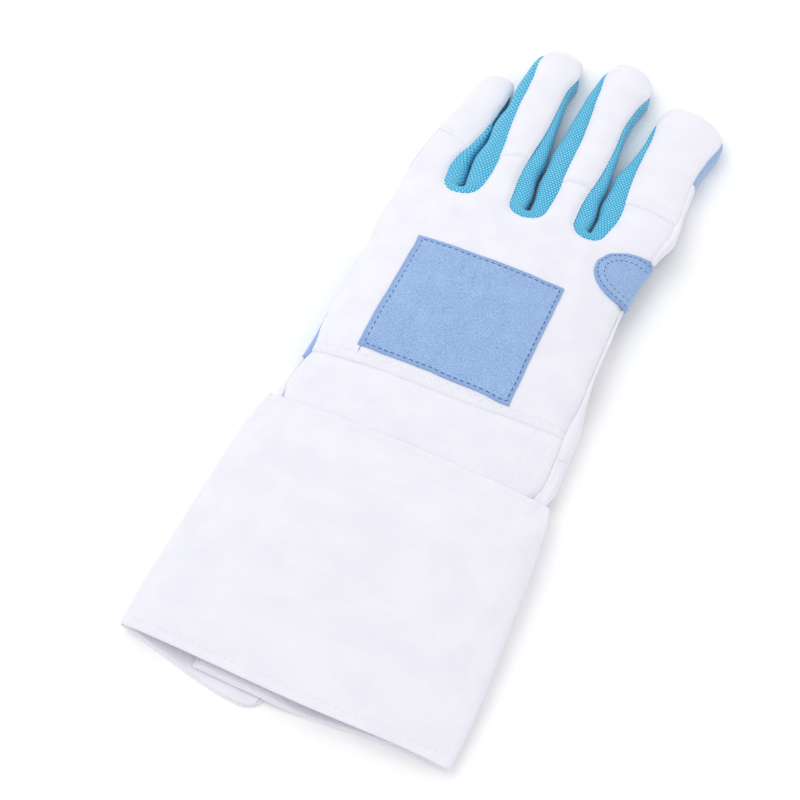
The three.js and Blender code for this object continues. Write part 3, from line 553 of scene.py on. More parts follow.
FINGER_TABLES = {
    "little": Table("along left right left_side right_side", [
        (0, 0.46, 0.45, 0.06, 0.34),
        (0.12, 0.473, 0.36, 0.06, 0.38),
        (0.3, 0.477, 0.44, 0.06, 0.22),
        (0.45, 0.44, 0.5, 0.06, 0.09),
        (0.6, 0.415, 0.49, 0.055, 0.07),
        (0.84, 0.36, 0.42, 0.05, 0.05),
        (1, 0.17, 0.2, 0.03, 0.03),
    ]),
    "ring": Table("along left right left_side right_side", [
        (0, 0.32, 0.348, 0.42, 0.42),
        (0.12, 0.272, 0.304, 0.46, 0.42),
        (0.28, 0.288, 0.32, 0.41, 0.31),
        (0.45, 0.368, 0.388, 0.29, 0.18),
        (0.6, 0.396, 0.392, 0.2, 0.11),
        (0.75, 0.396, 0.4, 0.155, 0.07),
        (0.88, 0.36, 0.49, 0.1, 0.04),
        (1, 0.264, 0.264, 0.04, 0.03),
    ]),
    "middle": Table("along left right left_side right_side", [
        (0, 0.273, 0.281, 0.4, 0.4),
        (0.12, 0.25, 0.273, 0.42, 0.36),
        (0.28, 0.281, 0.354, 0.425, 0.18),
        (0.45, 0.287, 0.379, 0.385, 0.1),
        (0.6, 0.335, 0.354, 0.3, 0.08),
        (0.75, 0.402, 0.429, 0.19, 0.055),
        (0.88, 0.369, 0.535, 0.125, 0.03),
        (1, 0.227, 0.21, 0.04, 0.03),
    ]),
    "index": Table("along left right left_side right_side", [
        (0, 0.418, 0.368, 0.3, 0.025),
        (0.12, 0.36, 0.465, 0.33, 0.025),
        (0.2, 0.373, 0.455, 0.34, 0.03),
        (0.37, 0.435, 0.415, 0.275, 0.03),
        (0.55, 0.458, 0.402, 0.13, 0.03),
        (0.7, 0.465, 0.45, 0.07, 0.03),
        (0.87, 0.47, 0.505, 0.035, 0.03),
        (1, 0.28, 0.23, 0.03, 0.03),
    ]),
}
FINGER_HEIGHTS = Table("along top crown bottom", [
    (0, 1, 0.05, 0.32),
    (0.25, 0.93, 0.1, 0.19),
    (0.5, 0.82, 0.15, 0.07),
    (0.75, 0.71, 0.17, 0.015),
    (1, 0.62, 0.17, 0),
])
HAND_COLUMNS = "along left right inset_left inset_right top seam"
HAND_ROWS = [
    (-0.06, 0.955, 0.965, 0.02, 0.06, 0.58, 0.36),
    (0, 0.985, 1.0, 0.02, 0.07, 0.63, 0.38),
    (0.03, 1.005, 1.04, 0.02, 0.08, 0.67, 0.4),
    (0.08, 1.0, 1.044, 0.02, 0.08, 0.74, 0.45),
    (0.18, 0.994, 1.038, 0.05, 0.08, 0.83, 0.5),
    (0.27, 1.0, 1.032, 0.035, 0.08, 0.89, 0.51),
    (0.33, 0.996, 1.013, 0.025, 0.05, 0.93, 0.52),
    (0.45, 0.992, 0.975, 0.022, 0.02, 0.97, 0.53),
    (0.63, 0.994, 0.963, 0.022, 0.016, 1.0, 0.53),
    (0.77, 1.025, 0.96, 0.022, 0.016, 0.99, 0.52),
    (0.89, 1.022, 0.978, 0.022, 0.016, 0.95, 0.5),
]
CUFF_TABLE = Table("along left right", [
    (0, 0.996, 0.993),
    (0.17, 1.01, 1.015),
    (0.33, 1.008, 1.022),
    (0.5, 1.013, 1.021),
    (0.67, 1.018, 1.017),
    (0.83, 1.014, 1.007),
    (0.93, 1.0, 1.0),
    (1, 0.98, 0.98),
])


# The size of each finger: the values of FingerForm's first seven fields, root_x to skew.
FINGER_SIZES = {
    "little": (-52.5, -46.5, 79.5, 22.0, 17.5, 26.0, 0.0),
    "ring": (-17.6, -23.3, 108.0, 25.0, 20.5, 24.0, 0.0),
    "middle": (15.5, 12.5, 114.5, 26.0, 20.5, 21.0, 3.0),
    "index": (52.0, 52.5, 98.0, 33.0, 19.5, 20.0, 5.0),
}


@dataclass
class HandForm:
    """The form of the hand and fingers, which all their pieces are cut to."""

    cuff_edge: float = 119.0
    wrist_length: float = 25.5
    hand_length: float = 113.5
    hand_width: float = 126.0
    hand_height: float = 25.0
    hem_rise: float = 6.0
    side_under: float = 6.0
    thumb_height: float = 9.0
    inside_cuff: float = 4.6
    root_top: float = 0.89
    root_seam: float = 0.48
    heel_start: float = 146.0
    heel_blend: float = 14.0
    # Where the hand turns into the fingers, as places before and past their root.
    top_turn: Place = (-14.0, 9.0)
    under_turn: Place = (-8.0, 22.0)
    side_turn: Place = (-20.0, 25.0)
    fingers: dict[str, FingerForm] = field(init=False)
    notches: list[Notch] = field(init=False)
    table: Table = field(init=False)

    def __post_init__(self) -> None:
        """Sizes the four fingers, the notches between them and the hand's table."""
        self.back_hem_y = self.cuff_edge + self.wrist_length
        self.root = self.back_hem_y + self.hand_length - self.hem_rise / 2
        self.half = self.hand_width / 2
        self.fingers = {
            name: FingerForm(*size, self.root, FINGER_TABLES[name], FINGER_HEIGHTS)
            for name, size in FINGER_SIZES.items()
        }
        little, index = self.fingers["little"], self.fingers["index"]
        root_row = (
            1.0,
            (little.left_side(self.root) - little.left(self.root)) / self.half,
            (index.right(self.root) + index.right_side(self.root)) / self.half,
            little.left_side(self.root) / self.half,
            index.right_side(self.root) / self.half,
            self.root_top,
            self.root_seam,
        )
        self.table = Table(HAND_COLUMNS, [*HAND_ROWS, root_row])
        self.notches = [
            self.make_notch("little", "ring", shift=1.1, split=0.16, length=40, gap=3.2, hole=3.4),
            self.make_notch("ring", "middle", shift=-1.2, split=0.39, length=38, gap=1.1, hole=1.8),
            self.make_notch("middle", "index", shift=-0.1, split=0.32, length=37, gap=0.7, hole=1.5),
        ]

    def make_notch(self, left: str, right: str, shift: float, split: float, length: float, gap: float,
                   hole: float) -> Notch:
        """Returns the notch between two named fingers, with its arc between their inner seams.

        Args:
            left: the finger on its left.
            right: the finger on its right.
            shift: how far its arc is shifted along the hand.
            split: the share of the way across at which the crease ends.
            length: how long the crease is.
            gap: how wide the crease is.
            hole: how wide the hole at the crease's lower end is.

        Returns:
            The notch.
        """
        a, b = self.fingers[left], self.fingers[right]
        y = self.root + shift
        low, high = a.right(y), b.left(y)
        return Notch(a, b, (low + high) / 2, y, (high - low) / 2, 0.5, split, length, gap, hole)

    @property
    def finger_list(self) -> list[FingerForm]:
        """Returns the fingers from little to index."""
        return list(self.fingers.values())

    def at(self, column: str, y: float, scale: float) -> float:
        """Returns a column of the hand's table at y, times scale."""
        return self.table.at(column, (y - self.cuff_edge) / (self.root - self.cuff_edge)) * scale

    def past_root(self, y: float, turn: Place) -> float:
        """Returns 0 on the hand and 1 on the fingers, with a smooth rise between them."""
        return smoothstep(y, self.root + turn[0], self.root + turn[1])

    def left_seam(self, y: float) -> float:
        """Returns the upper seam's place along the little finger's edge."""
        if y > self.root:
            return self.fingers["little"].left(y)
        return self.at("inset_left", y, self.half) - self.at("left", y, self.half)

    def right_seam(self, y: float) -> float:
        """Returns the upper seam's place along the thumb's edge."""
        if y > self.root:
            return self.fingers["index"].right(y)
        return self.at("right", y, self.half) - self.at("inset_right", y, self.half)

    def left_side(self, y: float) -> float:
        """Returns how far the little finger's edge bulges past its seam."""
        return self.fingers["little"].left_side(y) if y > self.root else self.at("inset_left", y, self.half)

    def right_side(self, y: float) -> float:
        """Returns how far the thumb's edge bulges past its seam."""
        return self.fingers["index"].right_side(y) if y > self.root else self.at("inset_right", y, self.half)

    def top_of_hand(self, x: float, y: float) -> float:
        """Returns the height of the domed back of the hand."""
        left, right = self.left_seam(y), self.right_seam(y)
        s = (2 * x - left - right) / (right - left)
        dome = (1 - min(abs(s), 1.0) ** 2.3) ** 0.7
        return lerp(self.at("seam", y, self.hand_height), self.at("top", y, self.hand_height), dome)

    def top_of_finger(self, finger: FingerForm, x: float, y: float) -> float:
        """Returns the height of a finger's back."""
        left, right = finger.left(y), finger.right(y)
        s = clamp((2 * x - left - right) / (right - left), -1.4, 1.4)
        power = lerp(1.0, 0.6, clamp((y - finger.tip_y + finger.tip_round) / finger.tip_round, 0.0, 1.0))
        bow = math.copysign(abs(1 - s * s) ** power, 1 - s * s)
        return lerp(finger.seam(y), finger.top(y), bow)

    def top_at(self, finger: FingerForm, x: float, y: float) -> float:
        """Returns the height of the top, where the hand turns into its fingers.

        Args:
            finger: the finger there.
            x: the place across.
            y: the place along.

        Returns:
            The height.
        """
        share = self.past_root(y, self.top_turn)
        if share <= 0:
            return self.top_of_hand(x, y)
        if share >= 1:
            return self.top_of_finger(finger, x, y)
        return lerp(self.top_of_hand(x, y), self.top_of_finger(finger, x, y), share)

    def under_hand(self, x: float, y: float) -> float:
        """Returns the height of the palm, which is lifted over the thumb."""
        across = lerp(0.18, 1.0, smoothstep(x, -self.half * 0.85, -self.half * 0.3))
        lift = (self.thumb_height + 0.3) * across * smoothstep(y, self.back_hem_y + 8, self.back_hem_y + 40)
        in_cuff = 1 - smoothstep(y, self.cuff_edge + 1, self.cuff_edge + self.wrist_length * 0.5)
        return lift + self.inside_cuff * in_cuff

    def under_at(self, finger: FingerForm, x: float, y: float) -> float:
        """Returns the height of the underside, where the palm turns into the finger fronts.

        Args:
            finger: the finger there.
            x: the place across.
            y: the place along.

        Returns:
            The height.
        """
        share = self.past_root(y, self.under_turn)
        if share <= 0:
            return self.under_hand(x, y)
        left, right = finger.left(y), finger.right(y)
        s = clamp((2 * x - left - right) / (right - left), -1.0, 1.0)
        bow = (1 - s * s) ** 0.6
        return lerp(self.under_hand(x, y), lerp(finger.bottom_seam(y), finger.bottom(y), bow), share)

    def under_reach(self, y: float) -> float:
        """Returns how far the lower outer seam lies inside the upper one."""
        return self.side_under * (1 - self.past_root(y, self.side_turn))

    def heel_inset(self, y: float) -> float:
        """Returns how far the back's left edge lies inside its seam, which it covers past the heel."""
        return 0.1 - 0.9 * smoothstep(y, self.heel_start + 1, self.heel_start + 1 + self.heel_blend)

    def bulge_share(self, y: float) -> float:
        """Returns how much of the left edge's bulge shows beside the back."""
        return lerp(1.0, 0.2, smoothstep(y, self.heel_start, self.heel_start + self.heel_blend))

    def back_hem(self, x: float) -> float:
        """Returns the place of the curved hem where the padded back meets the wrist band."""
        return self.back_hem_y - self.hem_rise / 3 + self.hem_rise * max(0.0, x / self.half) ** 2

    def seam_out(self, seam: Callable[[float], float], y: float, is_left: bool) -> Place:
        """Returns the level direction out of a side seam.

        Args:
            seam: the seam's place across, by its place along.
            y: the place along.
            is_left: whether it is the left seam.

        Returns:
            The direction, of length 1.
        """
        step = 0.4
        slope = (seam(y) - seam(y - step)) / step
        size = math.hypot(1.0, slope) * (-1 if is_left else 1)
        return 1 / size, -slope / size

    def neighbours(self, k: int) -> tuple[FingerForm, Optional[Notch], Optional[Notch]]:
        """Returns finger k with the notch before it and the notch after it."""
        before = self.notches[k - 1] if k > 0 else None
        after = self.notches[k] if k < len(self.notches) else None
        return self.finger_list[k], before, after


# Cloth


@dataclass
class Knot:
    """A point of a cut piece and its place in the flat cut, in millimetres."""

    x: float
    y: float
    z: float
    cut: Optional[Place] = None


Grid = list[list[Knot]]


def grid(rows: Sequence[float], columns: Sequence[float], at: Callable[[float, float], Knot]) -> Grid:
    """Returns a grid of knots.

    Args:
        rows: shares along the piece.
        columns: shares across the piece.
        at: makes the knot at a share along and a share across.
    """
    return [[at(u, v) for v in columns] for u in rows]


def unroll(rows: Grid) -> Grid:
    """Gives a grid's knots their places in a straight flat cut, by lengths along its upper seam and across.

    Args:
        rows: the grid, whose rows run across the strip.

    Returns:
        The same grid.
    """
    along = 0.0
    for i, row in enumerate(rows):
        if i:
            a, b = rows[i - 1][1], row[1]
            along += math.dist((a.x, a.y, a.z), (b.x, b.y, b.z))
        across = 0.0
        for j, knot in enumerate(row):
            if j:
                last = row[j - 1]
                across += math.dist((last.x, last.y, last.z), (knot.x, knot.y, knot.z))
            knot.cut = (across, along)
    return rows


@dataclass
class Skin:
    """The outer face of a piece: its grids, which join where they meet."""

    grids: list[Grid]
    outward: Callable[[Vector], Vector]
    skip: Callable[[int, int, int], bool] = lambda g, i, j: False

    def __post_init__(self) -> None:
        """Joins the grids' knots and turns all faces outwards."""
        self.knots: list[Knot] = []
        self.faces: list[list[int]] = []
        known: dict[tuple, int] = {}
        for g, rows in enumerate(self.grids):
            ids = [[self.number(known, knot) for knot in row] for row in rows]
            for i in range(len(ids) - 1):
                for j in range(len(ids[i]) - 1):
                    if not self.skip(g, i, j):
                        self.add_face([ids[i][j], ids[i][j + 1], ids[i + 1][j + 1], ids[i + 1][j]])
        self.points = [Vector((k.x, k.y, k.z)) for k in self.knots]
        if sum(self.turned(face).dot(self.outward(self.points[face[0]])) for face in self.faces) < 0:
            self.faces = [face[::-1] for face in self.faces]
        edges: dict[tuple[int, int], None] = {}
        for face in self.faces:
            for start, end in zip(face, face[1:] + face[:1]):
                if (end, start) in edges:
                    del edges[(end, start)]
                else:
                    edges[(start, end)] = None
        self.edges = list(edges)

    def number(self, known: dict[tuple, int], knot: Knot) -> int:
        """Returns the number of a knot, which is that of an earlier one in the same place.

        Args:
            known: the numbers so far, by rounded place.
            knot: the knot to number.

        Returns:
            Its number.
        """
        key = (round(knot.x, 3), round(knot.y, 3), round(knot.z, 3))
        if key not in known:
            known[key] = len(self.knots)
            self.knots.append(Knot(knot.x, knot.y, knot.z, knot.cut or (knot.x, knot.y)))
        return known[key]

    def add_face(self, corners: list[int]) -> None:
        """Adds a face, unless its corners have closed to a line."""
        kept = [c for i, c in enumerate(corners) if c != corners[i - 1]]
        if len(set(kept)) >= 3:
            self.faces.append(kept)

    def turned(self, face: list[int]) -> Vector:
        """Returns twice a face's area along its normal."""
        a, b, c = (self.points[i] for i in face[:3])
        if len(face) == 3:
            return (b - a).cross(c - a)
        return (c - a).cross(self.points[face[3]] - b)

    def area(self) -> float:
        """Returns the skin's area in square metres."""
        return sum(self.turned(face).length for face in self.faces) / 2 * MM * MM

    def rim_points(self, spacing: float = 0.7) -> list[Vector]:
        """Returns points along the open edges, about spacing apart.

        Args:
            spacing: the distance between two points.

        Returns:
            The points.
        """
        found = []
        for start, end in self.edges:
            a, b = self.points[start], self.points[end]
            steps = max(1, math.ceil((b - a).length / spacing))
            found += [a.lerp(b, i / steps) for i in range(steps)]
        return found


@dataclass(frozen=True)
class Fold:
    """A crease below the surface, or a ridge above it, along a straight line."""

    start: Place
    end: Place
    height: float
    width: float

    def at(self, x: float, y: float) -> float:
        """Returns the fold's height at a place, which dies out towards its ends.

        Args:
            x: the place across.
            y: the place along.

        Returns:
            The height.
        """
        dx, dy = self.end[0] - self.start[0], self.end[1] - self.start[1]
        length = math.hypot(dx, dy)
        along = ((x - self.start[0]) * dx + (y - self.start[1]) * dy) / length
        across = ((x - self.start[0]) * dy - (y - self.start[1]) * dx) / length
        beyond = max(0.0, -along, along - length)
        return self.height * math.exp(-(across / self.width) ** 2 - (beyond / (1.5 * self.width)) ** 2)


@dataclass(frozen=True)
class Softness:
    """How a piece of cloth departs from its cut form."""

    roll: float = 0.3
    roll_width: float = 1.6
    sink: float = 0.0
    pucker: float = 0.16
    pucker_length: float = 6.0
    swell: float = 0.35
    swell_length: float = 26.0
    ripple: float = 0.0
    ripple_length: float = 4.0
    lift: float = 0.0
    stitch_line: float = 0.0
    stitch_sink: float = 0.3
    stitch_width: float = 0.7
    pucker_reach: float = 3.5
    folds: tuple[Fold, ...] = ()
    seed: float = 0.0

    def at(self, x: float, y: float, z: float, rim: float) -> float:
        """Returns how far the surface stands out at a place and at a distance from the cut edges.

        Args:
            x: the place across.
            y: the place along.
            z: the height.
            rim: the distance from the rim.

        Returns:
            The distance outwards.
        """
        place = Vector((x, y, z))
        height = self.lift - self.roll * math.exp(-(rim / self.roll_width) ** 2)
        offset = Vector((self.seed, 3.7 * self.seed, 1.3))
        if self.swell:
            height += self.swell * noise.noise(place / self.swell_length + offset)
        if self.pucker and rim < 4 * self.pucker_reach:
            waves = noise.noise(place / (0.5 * self.pucker_length) + 2 * offset)
            height += self.pucker * waves * math.exp(-rim / self.pucker_reach)
        if self.ripple:
            sway = 0.6 * noise.noise(place / 20 + offset)
            height += self.ripple * math.sin(math.tau * (x / self.ripple_length + sway))
        if self.stitch_line:
            height -= self.stitch_sink * math.exp(-((rim - self.stitch_line) / self.stitch_width) ** 2)
        return height + sum(fold.at(x, y) for fold in self.folds)


# Making and declaring pieces


class Hold(Enum):
    """How a sheet of cloth is held in the glove."""

    SEWN = "stretched"
    GATHERED = "gathered"
    LAID = "laid"


def link_mesh(name: str, points: Sequence[Vector], faces: Sequence[list[int]]) -> Object:
    """Returns a new object of these points, in metres, and faces, linked to the scene.

    Args:
        name: the object's name.
        points: the places of its points.
        faces: the point numbers of each face.

    Returns:
        The object.
    """
    mesh = bpy.data.meshes.new(name)
    mesh.from_pydata(points, [], faces)
    mesh.update()
    piece = bpy.data.objects.new(name, mesh)
    bpy.context.scene.collection.objects.link(piece)
    return piece


@dataclass
class Workshop:
    """Turns skins into finished cloth pieces that ride on the frame."""

    origin: Vector
    materials: dict[Finish, Material]
    threads: dict[Yarn, Material]
    made: dict[str, Object] = field(default_factory=dict)
    skins: dict[str, Skin] = field(default_factory=dict)

    def place(self, point: Sequence[float]) -> Vector:
        """Returns the place in the frame, in metres, of a point in the glove's own millimetres."""
        return (Vector(point) - self.origin) * MM

    def finish_with(self, piece: Object, kind: str, **settings: object) -> None:
        """Adds a modifier with its settings to a piece, and applies it.

        Args:
            piece: the piece.
            kind: the modifier's type.
            settings: the modifier's own properties.
        """
        bpy.ops.object.select_all(action="DESELECT")
        piece.select_set(True)
        bpy.context.view_layer.objects.active = piece
        modifier = piece.modifiers.new(kind.lower(), kind)
        for name, value in settings.items():
            setattr(modifier, name, value)
        bpy.ops.object.modifier_apply(modifier=modifier.name)

    def open_mesh(self, name: str, skin: Skin) -> Object:
        """Returns a new object of the skin alone, with its flat cut as the UV map.

        Args:
            name: the piece's name.
            skin: its skin.

        Returns:
            The object.
        """
        piece = link_mesh(name, [self.place(p) for p in skin.points], skin.faces)
        mesh = piece.data
        layer = mesh.uv_layers.new(name=CUT_MAP)
        numbers = np.zeros(len(mesh.loops), int)
        mesh.loops.foreach_get("vertex_index", numbers)
        cuts = np.array([k.cut for k in skin.knots]) * MM
        layer.data.foreach_set("uv", cuts[numbers].ravel())
        mesh.update()
        return piece

    def soften(self, piece: Object, skin: Skin, softness: Softness) -> None:
        """Moves a skin's points by its softness, and keeps their distances from the cut edges.

        Args:
            piece: the object.
            skin: the skin that it was made from.
            softness: how its surface is moved.
        """
        mesh = piece.data
        rim = skin.rim_points()
        tree = KDTree(len(rim))
        for i, point in enumerate(rim):
            tree.insert(self.place(point), i)
        tree.balance()
        distances = np.array([tree.find(v.co)[2] for v in mesh.vertices])
        attribute = mesh.attributes.new(RIM_ATTRIBUTE, "FLOAT", "POINT")
        attribute.data.foreach_set("value", distances.astype(np.float32))
        places = np.array([v.co[:] for v in mesh.vertices])
        normals = np.array([n.vector[:] for n in mesh.vertex_normals])
        own = (places / MM + np.array(self.origin)).tolist()
        heights = [softness.at(*p, d / MM) for p, d in zip(own, distances.tolist())]
        places += normals * (np.array(heights) * MM)[:, None]
        places[:, 2] -= softness.sink * MM * np.exp(-(distances / (softness.roll_width * MM)) ** 2)
        places[:, 2] = np.maximum(places[:, 2], 0.0)
        mesh.vertices.foreach_set("co", places.ravel())
        mesh.update()

    def make(self, name: str, skin: Skin, finish: Finish, wall: float, softness: Softness,
             divisions: int = 1) -> Object:
        """Makes a closed piece of cloth.

        Args:
            name: the piece's name.
            skin: its outer face.
            finish: its finish.
            wall: its thickness.
            softness: how it departs from its cut form.
            divisions: how often the skin is divided before it is softened.

        Returns:
            The piece, which rides on the frame.
        """
        piece = self.open_mesh(name, skin)
        if divisions:
            self.finish_with(piece, "SUBSURF", levels=divisions, render_levels=divisions,
                             boundary_smooth="PRESERVE_CORNERS")
        self.soften(piece, skin, softness)
        self.finish_with(piece, "SOLIDIFY", thickness=wall * MM, offset=-1.0, use_rim=True)
        self.finish_with(piece, "SUBSURF", levels=1, render_levels=1)
        self.rest_on_floor(piece)
        bpy.ops.object.shade_smooth()
        piece.data.materials.append(self.materials[finish])
        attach(piece, "root")
        self.made[name], self.skins[name] = piece, skin
        return piece

    def rest_on_floor(self, piece: Object) -> None:
        """Flattens what would lie below the floor."""
        places = np.zeros(len(piece.data.vertices) * 3)
        piece.data.vertices.foreach_get("co", places)
        places[2::3] = np.maximum(places[2::3], 0.0)
        piece.data.vertices.foreach_set("co", places)
        piece.data.update()

    def surface(self, *names: str) -> BVHTree:
        """Returns the joined surface of finished pieces, for laying things on."""
        points: list[Vector] = []
        faces: list[list[int]] = []
        for name in names:
            mesh = self.made[name].data
            start = len(points)
            points += [v.co.copy() for v in mesh.vertices]
            faces += [[start + i for i in polygon.vertices] for polygon in mesh.polygons]
        return BVHTree.FromPolygons(points, faces)

    def drop(self, tree: BVHTree, x: float, y: float, from_below: bool = False) -> tuple[Vector, Vector]:
        """Returns the place and normal where a vertical line first meets a surface.

        Args:
            tree: the surface.
            x: the place across, in millimetres.
            y: the place along, in millimetres.
            from_below: whether the line comes up from the floor.

        Returns:
            The place and the normal.
        """
        start = self.place((x, y, -20 if from_below else 80))
        spot, normal, _, _ = tree.ray_cast(start, Vector((0, 0, 1 if from_below else -1)))
        if spot is None:
            spot, normal, _, _ = tree.find_nearest(self.place((x, y, 0 if from_below else 20)))
        return spot, normal

    def declare(self, node: str, flat: Place, hold: Hold) -> None:
        """Says which node a piece replaces, and the size that it was cut to, in millimetres."""
        piece = self.made[node + SUFFIX]
        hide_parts(node)
        size = (flat[0] * MM, flat[1] * MM)
        area = min(self.skins[piece.name].area(), size[0] * size[1])
        LOG.info("%s: %d faces, cut %.0f x %.0f mm, %.0f sq cm", piece.name, len(piece.data.polygons),
                 *flat, area * 1e4)


@dataclass
class Stitching:
    """A group of stitches of one thread, sewn into one mesh."""

    workshop: Workshop
    name: str
    yarn: Yarn
    width: float = 0.5
    length: float = 2.0
    pitch: float = 3.0
    sides: int = 6
    round_height: float = 0.8
    # Places along a stitch and the share of its width there.
    profile: tuple[Place, ...] = ((-0.5, 0.35), (-0.32, 1.0), (0.32, 1.0), (0.5, 0.35))
    points: list[Vector] = field(default_factory=list)
    faces: list[list[int]] = field(default_factory=list)

    def stitch(self, centre: Vector, along: Vector, normal: Vector) -> None:
        """Adds one rounded stitch, half sunk in the surface.

        Args:
            centre: the middle of the stitch.
            along: the direction of its row.
            normal: the normal of the surface.
        """
        along = (along - normal * along.dot(normal)).normalized()
        side = normal.cross(along)
        start = len(self.points)
        for share, size in self.profile:
            sag = -0.6 * self.width * (2 * abs(share)) ** 3
            for i in range(self.sides):
                angle = math.tau * i / self.sides
                ring = side * math.cos(angle) + normal * math.sin(angle) * self.round_height
                middle = centre + (along * share * self.length + normal * sag) * MM
                self.points.append(middle + ring * (self.width / 2 * size * MM))
        n = self.sides
        for ring in range(3):
            for i in range(n):
                a, b = start + ring * n + i, start + ring * n + (i + 1) % n
                self.faces.append([a, b, b + n, a + n])
        self.faces.append([start + i for i in range(n)][::-1])
        self.faces.append([start + 3 * n + i for i in range(n)])

    def row(self, path: Sequence[Place], tree: BVHTree, from_below: bool = False) -> None:
        """Sews a row of stitches along a path over a surface.

        Args:
            path: the row's line, seen from above.
            tree: the surface.
            from_below: whether it lies on the surface's lower side.
        """
        lengths = [math.dist(a, b) for a, b in zip(path, path[1:])]
        count = max(1, round(sum(lengths) / self.pitch))
        for i in range(count):
            ends = [self.along(path, lengths, (i + share) / count) for share in (0.3, 0.7)]
            (a, _), (b, _) = (self.workshop.drop(tree, x, y, from_below) for x, y in ends)
            middle = ((ends[0][0] + ends[1][0]) / 2, (ends[0][1] + ends[1][1]) / 2)
            spot, normal = self.workshop.drop(tree, *middle, from_below)
            if (b - a).length < 3 * self.pitch * MM:
                self.stitch(spot, b - a, normal)

    def along(self, path: Sequence[Place], lengths: list[float], share: float) -> Place:
        """Returns the place at a share of a path's length.

        Args:
            path: the path's points.
            lengths: the length of each of its steps.
            share: the share of the whole length.

        Returns:
            The place.
        """
        rest = share * sum(lengths)
        for (a, b), length in zip(zip(path, path[1:]), lengths):
            if rest <= length:
                return lerp(a[0], b[0], rest / length), lerp(a[1], b[1], rest / length)
            rest -= length
        return path[-1]

    def finish(self) -> Object:
        """Makes the mesh of all stitches, which rides on the frame."""
        piece = link_mesh(self.name, self.points, self.faces)
        piece.data.shade_smooth()
        piece.data.materials.append(self.workshop.threads[self.yarn])
        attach(piece, "root")
        return piece


def up(point: Vector) -> Vector:
    """Returns the way out of a piece on top of the hand."""
    return Vector((0, 0, 1))


def down(point: Vector) -> Vector:
    """Returns the way out of a piece under the hand."""
    return Vector((0, 0, -1))


# The hand's panels


# How far a strip runs on below the panel that is sewn over it, and how much lower it lies there.
TUCK = 2.2
TUCK_DROP = 1.1

# How often a row's place is worked out again, because it follows the seams and they follow it.
ROW_TRIES = 3


def edge_ring(x: float, y: float, out: Place, under: float, bulge: float, upper: float,
              lower: float) -> list[Knot]:
    """Returns a row round an outer edge, from below the upper panel down to the lower seam.

    Args:
        x: the upper seam's place across.
        y: the upper seam's place along.
        out: the level direction out of the seam.
        under: how far the lower seam lies inside the upper one.
        bulge: how far the edge stands out.
        upper: the height of the upper seam.
        lower: the height of the lower seam.

    Returns:
        The row's knots.
    """
    middle = (upper + lower) / 2
    row = [Knot(x - out[0] * TUCK, y, upper - TUCK_DROP)]
    for v in even(10):
        angle = math.pi * v
        reach = lerp(-under if v > 0.5 else 0.0, bulge, math.sin(angle))
        row.append(Knot(x + out[0] * reach, y, middle + (upper - middle) * math.cos(angle)))
    return row


